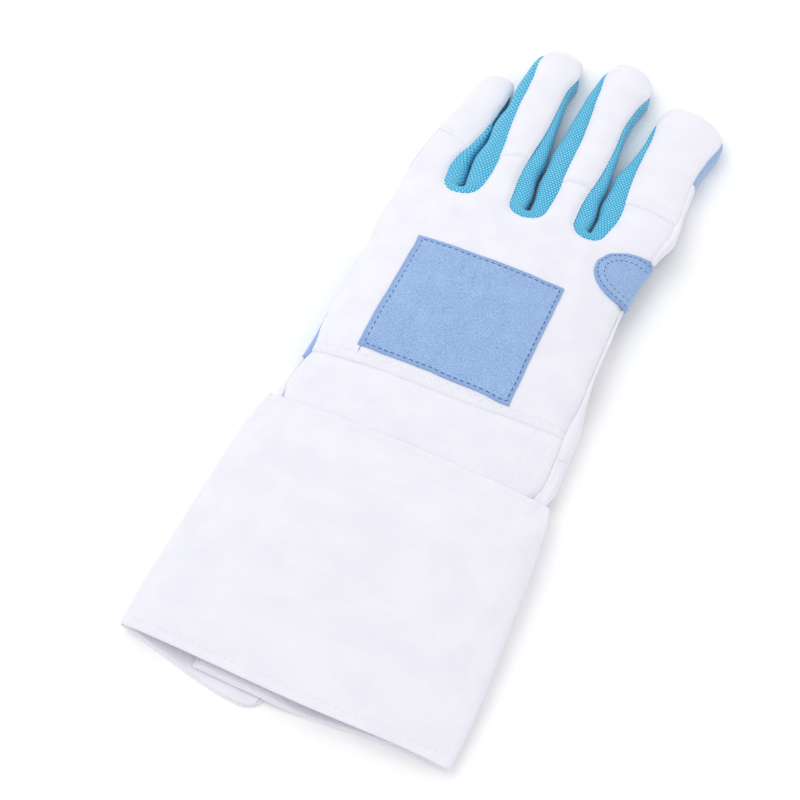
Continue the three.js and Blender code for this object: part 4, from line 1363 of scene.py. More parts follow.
@dataclass
class HandCloth:
    """Grids over the hand and fingers, from which its back and its palm are cut."""

    form: HandForm
    columns: int
    height_at: Callable[[FingerForm, float, float], float]
    inset_left: Callable[[float], float]
    inset_right: Callable[[float], float]
    gap: float = 0.1
    tip_inset: float = 0.0
    closeness: float = 0.35

    def hand(self, shares: Sequence[float], hem: Callable[[float], float]) -> Grid:
        """Returns the rows from a hem up to the lowest points of the notches.

        Args:
            shares: the rows' places, from 0 to 1.
            hem: the hem's place along, by x.

        Returns:
            The rows.
        """
        across = edged(self.columns, self.closeness)
        form = self.form

        def at(u: float, k: int, part: float) -> Knot:
            """Returns the knot at a share along and at a share across finger k's stretch."""
            finger, before, after = form.neighbours(k)
            top = lerp((before or after).arc_y(0, self.gap), (after or before).arc_y(0, self.gap), part)
            y = lerp(hem(0), top, u)
            for _ in range(ROW_TRIES):
                left = before.x if before else form.left_seam(y) + self.inset_left(y)
                right = after.x if after else form.right_seam(y) - self.inset_right(y)
                x = lerp(left, right, part)
                y = lerp(hem(x), top, u)
            return Knot(x, y, self.height_at(finger, x, y))

        last = len(form.notches)
        return [[at(u, k, part) for k in range(last + 1) for part in across[:-1]] + [at(u, last, 1.0)]
                for u in shares]

    def arc(self, k: int, count: int) -> Grid:
        """Returns finger k's rows round the notches, from their lowest points up to their middles.

        Args:
            k: the finger's number.
            count: how many steps there are.

        Returns:
            The rows.
        """
        finger, before, after = self.form.neighbours(k)

        def at(u: float, v: float) -> Knot:
            """Returns one knot of the arcs' rows."""
            phase = u * math.pi / 2
            y = lerp((before or after).arc_y(phase, self.gap), (after or before).arc_y(phase, self.gap), v)
            left = self.form.left_seam(y) + self.inset_left(y)
            if before:
                left = before.arc_x(1, phase, self.gap)
            right = self.form.right_seam(y) - self.inset_right(y)
            if after:
                right = after.arc_x(-1, phase, self.gap)
            x = lerp(left, right, v)
            return Knot(x, y, self.height_at(finger, x, y))

        return grid(even(count), edged(self.columns, self.closeness), at)

    def finger(self, k: int, shares: Sequence[float], start: Optional[Callable] = None,
               end: Optional[Callable] = None) -> Grid:
        """Returns finger k's rows.

        Args:
            k: the finger's number.
            shares: shares from the start to the end.
            start: the start line's place at a share across, or none for the notches' middles.
            end: the end line's place at a share across, or none for the tip.

        Returns:
            The rows.
        """
        finger, before, after = self.form.neighbours(k)

        def at(u: float, v: float) -> Knot:
            """Returns one knot of the finger's rows."""
            low = start(v) if start else lerp((before or after).y, (after or before).y, v)
            y = lerp(low, end(v) if end else finger.tip_y - self.tip_inset, u)
            inset = self.tip_inset * smoothstep(y, finger.tip_y - 12, finger.tip_y - 3)
            left = finger.left(y) + inset + (self.gap if before else self.inset_left(y))
            right = finger.right(y) - inset - (self.gap if after else self.inset_right(y))
            x = lerp(left, right, v)
            return Knot(x, y - finger.skew_at(y, v), self.height_at(finger, x, y))

        return grid(shares, edged(self.columns, self.closeness), at)

    def whole(self, hand: Grid, arcs: Sequence[Grid], fingers: Sequence[Grid]) -> list[Grid]:
        """Returns the hand with its fingers joined on, each grid starting with the last row before it.

        Args:
            hand: the hand's rows.
            arcs: each finger's rows round its notches.
            fingers: each finger's further rows.

        Returns:
            The grids.
        """
        grids = [hand]
        for k, (arc, finger) in enumerate(zip(arcs, fingers)):
            arc[0] = hand[-1][k * self.columns:(k + 1) * self.columns + 1]
            finger[0] = arc[-1]
            grids += [arc, finger]
        return grids


@dataclass
class BackOfHand:
    """The padded back, the four finger backs that lap over it, and the wrist band."""

    workshop: Workshop
    form: HandForm
    padding: float = 2.6
    cloth: float = 1.6
    band_cloth: float = 1.8
    edge_gap: float = 0.1
    knuckle_lap: float = 2.5
    stitch_inset: float = 1.8
    # The zigzag's two distances from the hem, and the places across of its ends.
    zigzag: Place = (5.8, 3.4)
    zigzag_ends: Place = (-59.0, 60.0)
    knuckle_slopes: tuple[float, ...] = (-0.36, 0.22, 0.05, -0.1)
    names: tuple[str, ...] = ("little", "ring", "middle", "index")

    def knuckle_line(self, k: int, shift: float) -> Callable[[float], float]:
        """Returns the slanted line at a knuckle, shifted along the finger.

        Args:
            k: the finger's number.
            shift: how far the line is moved.

        Returns:
            The place along, by the share across.
        """
        finger = self.form.finger_list[k]
        slope = self.knuckle_slopes[k] * finger.width

        def at(v: float) -> float:
            """Returns the line's place at a share across the finger."""
            return finger.root_y + finger.knuckle + shift + slope * (v - 0.5)

        return at

    def make_back(self) -> None:
        """Makes the padded back with a short stalk for each finger."""
        form = self.form
        cloth = HandCloth(form, 10, form.top_at, form.heel_inset, lambda y: self.edge_gap)
        hand = cloth.hand(edged(26, 0.2), form.back_hem)
        numbers = range(len(self.names))
        arcs = [cloth.arc(k, 6) for k in numbers]
        fingers = [cloth.finger(k, even(7), None, self.knuckle_line(k, self.knuckle_lap)) for k in numbers]
        skin = Skin(cloth.whole(hand, arcs, fingers), up)
        root = form.root
        folds = (
            Fold((-11, root - 8.6), (-6, root - 9), -0.5, 1.0),
            Fold((8, root - 10), (25, root - 10.6), -0.45, 1.0),
            Fold((-44, root - 20), (-36, root - 12), -0.35, 2.2),
            Fold((-34, root - 12), (-30, root - 30), 0.4, 3.0),
            Fold((1, root - 14), (4, root - 34), 0.4, 3.5),
            Fold((33, root - 13), (36, root - 32), 0.35, 3.2),
            Fold((50, root - 34), (40, root - 60), -0.35, 4.0),
        )
        softness = Softness(roll=0.1, sink=1.2, roll_width=2.0, pucker=0.3, swell=0.5, folds=folds, seed=1.0)
        piece = self.workshop.make("back_panel" + SUFFIX, skin, Finish.CLOTH, self.padding, softness)
        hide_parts("back_panel")
        LOG.info("%s: %d faces", piece.name, len(piece.data.polygons))

    def make_finger_backs(self) -> None:
        """Makes the four finger backs, whose lower hems lap over the padded back."""
        form = self.form
        for k, name in enumerate(self.names):
            finger = form.finger_list[k]
            cloth = HandCloth(form, 10, form.top_at, form.heel_inset, lambda y: self.edge_gap)
            shares = [math.sin(s * math.pi / 2) for s in even(26)]
            rows = cloth.finger(k, shares, self.knuckle_line(k, 0))
            middle = (finger.left(form.root + 50) + finger.right(form.root + 50)) / 2
            reach = 0.4 * finger.width
            y = finger.root_y + 0.66 * finger.length
            folds = (
                Fold((middle - reach, y), (middle + 0.2 * reach, y + 1.5), -0.3, 1.6),
                Fold((middle - 0.3 * reach, y - 7), (middle + reach, y - 8), -0.3, 1.8),
            )
            softness = Softness(roll=0.1, sink=0.9, pucker=0.22, swell=0.45, swell_length=18, lift=0.35,
                                folds=folds, seed=2.0 + k)
            self.workshop.make(name + "_back" + SUFFIX, Skin([rows], up), Finish.CLOTH, self.cloth, softness)

    def make_wrist_band(self) -> None:
        """Makes the band between the cuff and the padded back."""
        form = self.form
        start = form.cuff_edge - 7

        def at(u: float, v: float) -> Knot:
            """Returns one knot of the band, which runs on below the padded back."""
            y = lerp(start, form.back_hem_y, u)
            for _ in range(ROW_TRIES):
                x = lerp(form.left_seam(y) + self.edge_gap, form.right_seam(y) - self.edge_gap, v)
                y = lerp(start, form.back_hem(x) + self.knuckle_lap, u)
            tuck = 1.3 * smoothstep(y, form.back_hem(x) - 3, form.back_hem(x) + 1)
            in_cuff = 0.6 * (1 - smoothstep(y, form.cuff_edge - 3, form.cuff_edge + 1))
            return Knot(x, y, form.top_of_hand(x, y) - tuck - in_cuff)

        rows = grid(even(14), edged(40, 0.2), at)
        folds = (
            Fold((54, 121), (57, 157), -0.35, 0.9),
            Fold((50.5, 121), (53, 157), -0.3, 0.9),
            Fold((47, 122), (49, 155), -0.25, 0.9),
            Fold((-55, 122), (-56, 146), -0.3, 1.2),
        )
        softness = Softness(roll=0.1, sink=0.5, pucker=0.25, swell=0.4, folds=folds, seed=7.0)
        self.workshop.make("wrist_band" + SUFFIX, Skin([rows], up), Finish.CLOTH, self.band_cloth,
                           softness)

    def sew(self) -> dict[str, Object]:
        """Sews the rows of stitches at the knuckles, and the zigzag above the hem."""
        form, shop = self.form, self.workshop
        sewn = {}
        for k, (name, offsets) in enumerate(zip(self.names, ((2.0,), (2.0,), (2.0,), (1.8, 6.6)))):
            stitching = Stitching(shop, "stitches_" + name + "_knuckle", Yarn.WHITE, 0.36, 1.3, 2.0)
            tree = shop.surface(name + "_back" + SUFFIX)
            finger = form.finger_list[k]
            for offset in offsets:
                line = self.knuckle_line(k, offset)
                path = []
                for v in even(8):
                    y = line(v)
                    left, right = finger.left(y) + self.stitch_inset, finger.right(y) - self.stitch_inset
                    path.append((lerp(left, right, v), y))
                stitching.row(path, tree)
            sewn[name] = stitching.finish()
        zigzag = Stitching(shop, "stitches_back_hem", Yarn.WHITE, 0.36, 2.2, 2.6)
        tree = shop.surface("back_panel" + SUFFIX)
        steps = 52
        path = []
        for i in range(steps + 1):
            x = lerp(*self.zigzag_ends, i / steps)
            path.append((x, form.back_hem(x) + self.zigzag[i % 2]))
        zigzag.row(path, tree)
        zigzag.finish()
        return sewn


@dataclass
class Strips:
    """The mesh strips between the fingers and the strips along the hand's outer edges."""

    workshop: Workshop
    form: HandForm
    mesh_wall: float = 1.3
    side_wall: float = 1.4
    drop: float = 0.9
    notch_drop: float = 0.9
    notch_reach: float = 26.0
    edge_rise: float = 0.4
    columns: int = 12
    arc_steps: int = 18
    strip_start: float = 64.0
    squareness: float = 0.76
    puff: float = 0.12
    narrowest: float = 0.4
    # The waves of the crease between two strips: their height, and the length of one radian.
    wave: float = 0.55
    wave_stretch: float = 4.1
    # How a strip goes out of sight at a fingertip: over what length, how far inside the seam it then lies,
    # and how much lower its top and higher its bottom are.
    hiding: float = 4.0
    hidden_bulge: float = -1.2
    hidden_inset: float = 0.9
    hidden_drop: float = 1.2
    hidden_rise: float = 0.5

    def section(self, x: float, y: float, out: Place, bulge: float, upper: float,
                lower: float, under: float = 0.0, puff: float = 0.0) -> list[Knot]:
        """Returns a row across a strip: from below the upper panel, out and back under the lower one.

        Args:
            x: the seam's place across.
            y: the seam's place along.
            out: the level direction out of the seam.
            bulge: how far the strip stands out.
            upper: the height of the upper seam.
            lower: the height of the lower seam.
            under: how far the lower seam lies inside the upper one.
            puff: how far the strip swells up beside its upper seam.

        Returns:
            The row's knots.
        """
        power = self.squareness if puff else 1.0
        top, bottom = upper - self.drop, lower + self.drop
        if top - bottom < 1.0:
            top, bottom = (top + bottom) / 2 + 0.5, (top + bottom) / 2 - 0.5
        middle = (top + bottom) / 2
        row = [Knot(x - out[0] * TUCK, y - out[1] * TUCK, top - TUCK_DROP)]
        for v in even(self.columns):
            angle = math.pi * v
            start = -under if v > 0.5 else 0.0
            reach = lerp(start, bulge, math.sin(angle) ** power)
            rise = math.copysign(abs(math.cos(angle)) ** power, math.cos(angle))
            swell = puff * math.sin(2 * angle) if v < 0.5 else 0.0
            row.append(Knot(x + out[0] * reach, y + out[1] * reach, middle + (top - middle) * rise + swell))
        inside = under + TUCK
        row.append(Knot(x - out[0] * inside, y - out[1] * inside, bottom + TUCK_DROP))
        return row

    def leg(self, notch: Notch, is_right: bool, ends: float, count: int = 28) -> Grid:
        """Returns the rows up one finger's side from a notch, limited by the crease.

        Args:
            notch: the notch that the strip runs round.
            is_right: whether this is the side of the finger to the notch's right.
            ends: how far before the tip the strip goes out of sight below the back.
            count: how many steps there are.

        Returns:
            The rows.
        """
        form = self.form
        finger = notch.right if is_right else notch.left
        seam = finger.left if is_right else finger.right
        side = finger.left_side if is_right else finger.right_side
        rows = []
        for i in range(count + 1):
            along = lerp(notch.y, finger.ribbon_end, i / count)
            x = seam(along)
            y = along - (0.0 if is_right else finger.skew_at(along, 1.0))
            wave = self.wave * math.sin((along - notch.y) / self.wave_stretch)
            wave *= smoothstep(along, notch.y, notch.y + 10)
            room = abs(notch.crease(along) + wave - x) - notch.crease_gap / 2
            shown = 1 - smoothstep(along, finger.tip_y - ends - self.hiding, finger.tip_y - ends)
            bulge = lerp(self.hidden_bulge, max(min(side(along), room), self.narrowest), shown)
            out = form.seam_out(seam, along, is_right) if i else (-1.0 if is_right else 1.0, 0.0)
            near_tip = smoothstep(along, finger.tip_y - 16, finger.tip_y - 8)
            inset = lerp(self.hidden_inset, 2 * self.hidden_inset, near_tip) * (1 - shown)
            x -= inset * out[0]
            y -= inset * out[1]
            lowered = self.notch_drop * (1 - smoothstep(along, notch.y, notch.y + self.notch_reach))
            upper = form.top_at(finger, x, along) - self.hidden_drop * (1 - shown) - lowered
            lower = form.under_at(finger, x, along) + self.hidden_rise * (1 - shown)
            rows.append(self.section(x, y, out, bulge, upper, lower, puff=self.puff * max(bulge, 0.0)))
        return rows

    def make_fourchette(self, name: str, notch: Notch, ends: Place, seed: float) -> None:
        """Makes a mesh strip down one finger's side, round the notch and up the next finger's side."""
        form = self.form
        down_rows = self.leg(notch, False, ends[0])[::-1]
        up_rows = self.leg(notch, True, ends[1])
        arc = []
        for i in range(1, self.arc_steps):
            phase = math.pi / 2 * (1 - 2 * i / self.arc_steps)
            side = -1 if phase > 0 else 1
            finger = notch.left if side < 0 else notch.right
            x, y = notch.arc_x(side, abs(phase)), notch.arc_y(abs(phase))
            out = (-side * math.sin(abs(phase)), math.cos(phase))
            bulge = notch.radius - notch.crease_gap / 2 - notch.hole * math.cos(phase) ** 2
            upper, lower = form.top_at(finger, x, y) - self.notch_drop, form.under_at(finger, x, y)
            arc.append(self.section(x, y, out, bulge, upper, lower, puff=self.puff * bulge))
        rows = unroll(down_rows + arc + up_rows)
        skin = Skin([rows], lambda p: Vector((notch.x - p.x, 0, 0)))
        softness = Softness(roll=0, pucker=0.3, pucker_length=9, swell=0.3, swell_length=11, seed=seed)
        self.workshop.make(name + SUFFIX, skin, Finish.MESH, self.mesh_wall, softness)

    def edge_rows(self, start: float, end: float, is_left: bool, spacing: float = 3.2) -> Grid:
        """Returns the rows of a strip along the hand's outer edge, from one place to another.

        Args:
            start: where the strip starts along.
            end: where it ends.
            is_left: whether it lies on the left edge.
            spacing: the step between rows.

        Returns:
            The rows.
        """
        form = self.form
        finger = form.fingers["little" if is_left else "index"]
        seam = form.left_seam if is_left else form.right_seam
        rows = []
        count = max(4, round((end - start) / spacing))
        for i in range(count + 1):
            y = lerp(start, end, i / count)
            x, under = seam(y), form.under_reach(y)
            side = form.left_side(y) * form.bulge_share(y) if is_left else form.right_side(y)
            bulge = max(side, 0.3)
            shown = 1 - smoothstep(y, finger.tip_y - 13, finger.tip_y - 8)
            bulge = lerp(-0.6, bulge, shown)
            out = form.seam_out(seam, y, is_left)
            upper = form.top_at(finger, x, y) + self.edge_rise * shown
            lower = form.under_at(finger, x + (under if is_left else -under), y)
            shift = 0.0 if is_left else finger.skew_at(y, 1.0)
            rows.append(self.section(x, y - shift, out, bulge, upper, lower, under))
        return unroll(rows)

    def make_edge(self, name: str, start: float, end: float, is_left: bool, finish: Finish,
                  lift: float, seed: float, folds: tuple[Fold, ...] = ()) -> None:
        """Makes a strip along the hand's outer edge."""
        way = Vector((-1 if is_left else 1, 0, 0))
        skin = Skin([self.edge_rows(start, end, is_left)], lambda p: way)
        softness = Softness(roll=0.1, pucker=0.3, swell=0.5, swell_length=20, lift=lift, folds=folds,
                            seed=seed)
        self.workshop.make(name + SUFFIX, skin, finish, self.side_wall, softness)

    def make_all(self) -> None:
        """Makes the three mesh strips and the four edge strips."""
        form = self.form
        first, second, third = form.notches
        self.make_fourchette("fourchette_little_ring", first, (33.0, 3.0), 11.0)
        self.make_fourchette("fourchette_ring_middle", second, (10.0, 4.0), 12.0)
        self.make_fourchette("fourchette_middle_index", third, (12.0, 13.0), 13.0)
        start = form.back_hem_y + self.strip_start
        root = form.root
        index, little = form.fingers["index"], form.fingers["little"]
        ear = (Fold((60, root - 1.6), (74, root - 1.6), 1.1, 1.6),)
        self.make_edge("little_side", start, little.ribbon_end, True, Finish.CLOTH, 0.0, 14.0)
        self.make_edge("thumb_side", form.back_hem_y - 6, root - 1, False, Finish.CLOTH, 0.0, 15.0, ear)
        self.make_edge("index_side", root - 3, root + 49.5, False, Finish.CLOTH, 0.5, 16.0)
        self.make_edge("index_tip_side", root + 48, index.ribbon_end, False, Finish.SUEDE, 0.1, 17.0)


@dataclass
class Palm:
    """The suede palm with its finger fronts, which comes up over the heel's outer edge."""

    workshop: Workshop
    form: HandForm
    wall: float = 1.3
    columns: int = 8
    row_spacing: float = 5.2
    seam_gap: float = 0.6
    tip_inset: float = 0.8
    hole_start: float = 48.0
    hole_length: float = 20.0
    # The columns of the grid between which the hole lies.
    hole_columns: tuple[int, int] = (25, 31)
    heel_length: float = 64.0
    heel_drop: float = 0.9

    def make(self) -> None:
        """Makes the palm, with a hole where the thumb starts."""
        form = self.form
        start = form.back_hem_y - 6
        top = form.notches[2].arc_y(0, 0.1)
        heel_end = form.back_hem_y + self.heel_length
        hole = form.back_hem_y + self.hole_start
        hole_end = hole + self.hole_length
        marks = [start, hole, heel_end, hole_end, top]
        places = [start]
        for low, high in zip(marks, marks[1:]):
            count = max(1, round((high - low) / self.row_spacing))
            places += [lerp(low, high, (i + 1) / count) for i in range(count)]
        shares = [(y - start) / (top - start) for y in places]
        cloth = HandCloth(form, self.columns, form.under_at, form.under_reach, form.under_reach,
                          gap=self.seam_gap, tip_inset=self.tip_inset)
        hand = cloth.hand(shares, lambda x: start)
        last = max(i for i, y in enumerate(places) if y <= heel_end + 0.01)
        heel = [self.heel_row(row[0]) for row in hand[:last + 1]]
        numbers = range(len(form.fingers))
        arcs = [cloth.arc(k, 5) for k in numbers]
        eased = [math.sin(s * math.pi / 2) for s in even(22)]
        fingers = [cloth.finger(k, eased) for k in numbers]
        first = min(i for i, y in enumerate(places) if y >= hole - 0.01)
        final = max(i for i, y in enumerate(places) if y <= hole_end + 0.01)

        def skip(g: int, i: int, j: int) -> bool:
            """Returns whether a cell lies in the hole where the thumb starts."""
            return g == 0 and first <= i < final and j in range(*self.hole_columns)

        skin = Skin([*cloth.whole(hand, arcs, fingers), heel], down, skip)
        folds = (
            Fold((-48, 205), (10, 226), -0.5, 3.0),
            Fold((-50, 180), (-10, 196), -0.4, 2.5),
            Fold((20, 230), (44, 238), -0.5, 3.0),
        )
        softness = Softness(roll=0.0, sink=-0.5, pucker=0.3, swell=0.8, swell_length=22, folds=folds,
                            seed=21.0)
        self.workshop.make("palm" + SUFFIX, skin, Finish.SUEDE, self.wall, softness)

    def heel_row(self, inner: Knot) -> list[Knot]:
        """Returns a row round the heel's outer edge, from the upper seam to the palm's own edge.

        Args:
            inner: the palm's knot at the lower seam.

        Returns:
            The row's knots, that one last.
        """
        form = self.form
        y = inner.y
        x, under = form.left_seam(y), form.under_reach(y)
        out = form.seam_out(form.left_seam, y, True)
        bulge = form.left_side(y) * form.bulge_share(y)
        upper = form.top_at(form.fingers["little"], x, y) - self.heel_drop
        return [*edge_ring(x, y, out, under, bulge, upper, inner.z)[:-1], inner]


@dataclass
class Thumb:
    """The thumb, a flat tube of a white back and a suede front that lies under the palm."""

    workshop: Workshop
    form: HandForm
    length: float = 74.0
    width: float = 29.0
    height: float = 9.0
    base_x: float = 49.5
    base_along: float = 40.0
    turn: float = 29.0
    mouth: float = 34.0
    end_round: float = 13.0
    taper: float = 0.84
    tip_gap: float = 0.3
    wall: float = 1.3

    def point(self, along: float, across: float, rim: float, end: float) -> Knot:
        """Returns a point of the thumb.

        Args:
            along: the place along the thumb.
            across: from -1 to 1 across it.
            rim: the height of its side seams.
            end: the height of its middle line.

        Returns:
            The knot.
        """
        turn = math.radians(self.turn)

        def rounded(part: float) -> float:
            """Returns how full a rounded end is."""
            return math.sqrt(max(0.0, 1 - (1 - min(1.0, part)) ** 2))

        ends = rounded(along / self.end_round) * rounded((self.length - along) / self.end_round)
        half = self.width / 2 * lerp(1, self.taper, along / self.length) * ends
        width = half * math.sin(across * math.pi / 2)
        depth = max(0.0, math.cos(across * math.pi / 2)) ** 0.6 * ends
        x = self.base_x - along * math.sin(turn) + width * math.cos(turn)
        y = self.form.back_hem_y + self.base_along + along * math.cos(turn) + width * math.sin(turn)
        return Knot(x, y, lerp(rim, end, depth), (across * self.width / 2, along))

    def make(self) -> None:
        """Makes both halves of the thumb."""
        seam = self.height / 2
        eased = [0.5 - 0.5 * math.cos(s * math.pi) for s in even(24)]

        def back_at(u: float, v: float) -> Knot:
            """Returns one knot of the back, open upwards at the mouth."""
            along = clamp(self.length * u, self.tip_gap, self.length - self.tip_gap)
            rim = lerp(self.height, seam, smoothstep(along, self.mouth - 3, self.mouth))
            return self.point(along, 2 * v - 1, rim, 0)

        def front_at(u: float, v: float) -> Knot:
            """Returns one knot of the front, from the mouth to the tip."""
            along = lerp(self.mouth, self.length - self.tip_gap, math.sin(u * math.pi / 2))
            return self.point(along, 2 * v - 1, seam, self.height)

        shop = self.workshop
        back = Skin([grid(eased, even(20), back_at)], down)
        softness = Softness(roll=0.2, pucker=0.3, swell=0.5, swell_length=18, seed=31.0)
        shop.make("thumb_back" + SUFFIX, back, Finish.CLOTH, self.wall, softness)
        front = Skin([grid(even(18), even(20), front_at)], up)
        shop.make("thumb_front" + SUFFIX, front, Finish.SUEDE, self.wall, softness)


@dataclass
class Cuff:
    """The long gauntlet cuff and the elastic underside of the wrist."""

    workshop: Workshop
    form: HandForm
    wall: float = 1.1
    facing_wall: float = 0.8
    facing_depth: float = 13.0
    length: float = 119.0
    hem_width: float = 146.0
    top_width: float = 136.0
    hem_height: float = 9.5
    top_height: float = 18.5
    flap_edge: float = -5.0
    overlap: float = 33.0
    flap_drop: float = 8.5
    flap_corner: float = 9.0
    inner_drop: float = 3.0
    slant: float = 2.0
    seat: float = 0.55
    side_fall: float = 6.0
    mouth_sag: float = 1.2
    mouth_bow: float = 3.0
    mouth_back: float = 2.0
    roundness: float = 2.4
    round_length: float = 330.0
    seam_height: float = 4.2
    underside_cloth: float = 1.8
    # On the left and right, how far the wrist's edges stand out more inside the cuff, and how low they start.
    underside_fill: Place = (2.6, 2.2)
    underside_drop: Place = (0.8, 0.25)
    elastic_spacing: float = 4.2

    def half(self, share: float, column: str) -> float:
        """Returns the half width at a share of the length."""
        return CUFF_TABLE.at(column, share) * lerp(self.hem_width, self.top_width, share) / 2

    def hem_place(self, x: float, angle: float) -> float:
        """Returns the hem's place along, which differs on the two flaps.

        Args:
            x: the place across.
            angle: 1 on the top, 4 on the outer flap and -1 on the inner one.

        Returns:
            The place along.
        """
        slant = self.slant * (smoothstep(x, 0, self.hem_width * 0.4) - 1)
        start = self.flap_edge - self.flap_corner
        if angle > math.pi:
            corner = max(0.0, x - start) / self.flap_corner
            rounded = self.flap_corner * (1 - math.sqrt(max(0.0, 1 - corner * corner)))
            return slant - self.flap_drop * smoothstep(x, -self.hem_width * 0.55, start) + rounded
        if angle < 0:
            return slant - self.inner_drop * (1 - smoothstep(x, self.flap_edge, self.hem_width * 0.35))
        return slant

    def flap_angle(self, x: float) -> float:
        """Returns the angle round the cuff at which a flap's edge lies under it."""
        return math.acos(-((abs(x) / (self.hem_width / 2)) ** (self.roundness / 2)))

    def at(self, u: float, v: float) -> Knot:
        """Returns a point at a share along and a share round, from the inner flap's edge to the outer's.

        Args:
            u: the share from the hem to the mouth.
            v: the share round.

        Returns:
            The knot.
        """
        inner = -self.flap_angle(self.flap_edge - self.overlap)
        outer = math.tau - self.flap_angle(self.flap_edge)
        angle = lerp(inner, outer, v)
        c, s = math.cos(angle), math.sin(angle)
        half = self.half(u, "left" if c < 0 else "right")
        x = math.copysign(half * abs(c) ** (2 / self.roundness), c)
        top = lerp(self.hem_height, self.top_height, math.sin(u * math.pi / 2) ** 1.2)
        middle = top / 2
        lap = self.wall + self.facing_wall + 0.7
        lift = lap * (1 - smoothstep(x, self.flap_edge + 1, self.flap_edge + 18)) if angle < 0 else 0.0
        fall = max(0.0, 1 - (abs(x) / half) ** 5) ** (1 / self.roundness)
        rise = abs(s) ** (2 / self.roundness)
        z = middle + middle * rise if s > 0 else max(0.0, middle - (middle + 1) * fall)
        end = self.length + (abs(x) / self.top_width) ** 2 * self.mouth_bow - self.mouth_back
        y = lerp(self.hem_place(x, angle), end, u)
        if s > 0:
            form = self.form
            over_wrist = clamp(x, form.left_seam(y) + 2, form.right_seam(y) - 2)
            lying = form.top_of_hand(over_wrist, y) + self.wall - self.seat
            beyond = max(x - form.right_seam(y), form.left_seam(y) - x)
            lying = lerp(lying, middle, smoothstep(beyond, 0, self.side_fall))
            z -= self.mouth_sag * smoothstep(u, 0.86, 1.0)
            z -= smoothstep(u, 0.82, 0.99) * max(0.0, z - lying)
        return Knot(x, y, z + lift, (v * self.round_length, u * self.length))

    def round_shares(self, count: int, closer: Sequence[float]) -> list[float]:
        """Returns shares round the cuff.

        Args:
            count: how many equal steps there are.
            closer: the places of further shares, in steps back from the outer flap's edge.

        Returns:
            The shares in order, closest together at the outer flap's edge, where its corner is round.
        """
        return sorted([*even(count), *(1 - step / count for step in closer)])

    def make(self) -> None:
        """Makes the cuff."""
        rows = grid(edged(28, 0.3), self.round_shares(84, (0.12, 0.3, 0.55, 1.4)), self.at)
        skin = Skin([rows], lambda p: Vector((p.x, 0, p.z - self.hem_height / 2)))
        folds = (
            Fold((-30, 110), (10, 60), 0.45, 9.0),
            Fold((20, 100), (45, 40), 0.4, 10.0),
            Fold((-50, 60), (-20, 20), -0.35, 9.0),
            Fold((60, 80), (52, 30), 0.4, 6.0),
        )
        softness = Softness(roll=0.35, roll_width=1.2, pucker=0.2, swell=0.6, swell_length=34,
                            stitch_line=self.seam_height, stitch_sink=0.22, folds=folds, seed=41.0)
        self.workshop.make("cuff" + SUFFIX, skin, Finish.CLOTH, self.wall, softness)

    def make_facing(self) -> Object:
        """Makes the facing, the hem's cloth where it is folded in."""
        inward = self.wall + 0.1
        set_back = 0.7 / self.length

        def at(u: float, v: float) -> Knot:
            """Returns one knot, inside the cuff's own cloth."""
            share = lerp(set_back, self.facing_depth / self.length, u)
            side = lerp(0.004, 0.996, v)
            knot = self.at(share, side)
            near, far = self.at(share, side - 0.003), self.at(share, side + 0.003)
            along = Vector((far.x - near.x, 0, far.z - near.z)).normalized()
            way = Vector((-along.z, 0, along.x)) * inward
            return Knot(knot.x + way.x, knot.y, knot.z + way.z, knot.cut)

        rows = grid(edged(6, 0.3), self.round_shares(120, (0.2, 0.5, 1.4)), at)
        skin = Skin([rows], lambda p: Vector((p.x, 0, p.z - self.hem_height / 2)))
        softness = Softness(roll=0.1, pucker=0.1, swell=0.6, swell_length=34, seed=41.0)
        return self.workshop.make("cuff_facing", skin, Finish.CLOTH, self.facing_wall, softness,
                                  divisions=0)

    def make_underside(self) -> None:
        """Makes the elastic underside of the wrist, which comes up over both edges."""
        form = self.form
        start, end = form.cuff_edge - 7, form.back_hem_y - 3.5
        places = [lerp(start, end, s) for s in even(12)]
        rows = []
        for y in places:
            left = self.side_row(y, True)
            right = self.side_row(y, False)[::-1]
            a, b = left[-1], right[0]
            floor = []
            for v in even(28)[1:-1]:
                x = lerp(a.x, b.x, v)
                floor.append(Knot(x, y, form.under_hand(x, y)))
            rows.append(left + floor + right)
        softness = Softness(roll=0.4, pucker=0.2, swell=0.3, ripple=0.35,
                            ripple_length=self.elastic_spacing, seed=43.0)
        skin = Skin([rows], down)
        self.workshop.make("wrist_underside" + SUFFIX, skin, Finish.CLOTH, self.underside_cloth, softness)

    def side_row(self, y: float, is_left: bool) -> list[Knot]:
        """Returns a row round one edge of the wrist, from the upper seam down.

        Args:
            y: the place along.
            is_left: whether it is the left edge.

        Returns:
            The row's knots.
        """
        form = self.form
        seam = form.left_seam if is_left else form.right_seam
        x, under = seam(y), form.under_reach(y)
        out = form.seam_out(seam, y, is_left)
        finger = form.fingers["little" if is_left else "index"]
        upper = form.top_at(finger, x, y) - self.underside_drop[not is_left]
        lower = form.under_at(finger, x + (under if is_left else -under), y)
        in_cuff = 1 - smoothstep(y, form.cuff_edge - 2, form.cuff_edge + 13)
        side = form.left_side(y) if is_left else form.right_side(y)
        return edge_ring(x, y, out, under, side + self.underside_fill[not is_left] * in_cuff, upper, lower)

    def sew(self) -> Object:
        """Sews the rows of stitches along the hem and up the outer flap's edge."""
        shop = self.workshop
        tree = shop.surface("cuff" + SUFFIX)
        stitching = Stitching(shop, "stitches_cuff", Yarn.WHITE, 0.38, 1.9, 3.0)
        sides = {"top": 1.0, "outer flap": 4.0, "inner flap": -1.0}

        def line(side: str, ends: Place, count: int, height: float) -> list[Place]:
            """Returns a line of count points across one side, which stays a height above the hem."""
            return [(x, self.hem_place(x, sides[side]) + height) for x in np.linspace(*ends, count).tolist()]

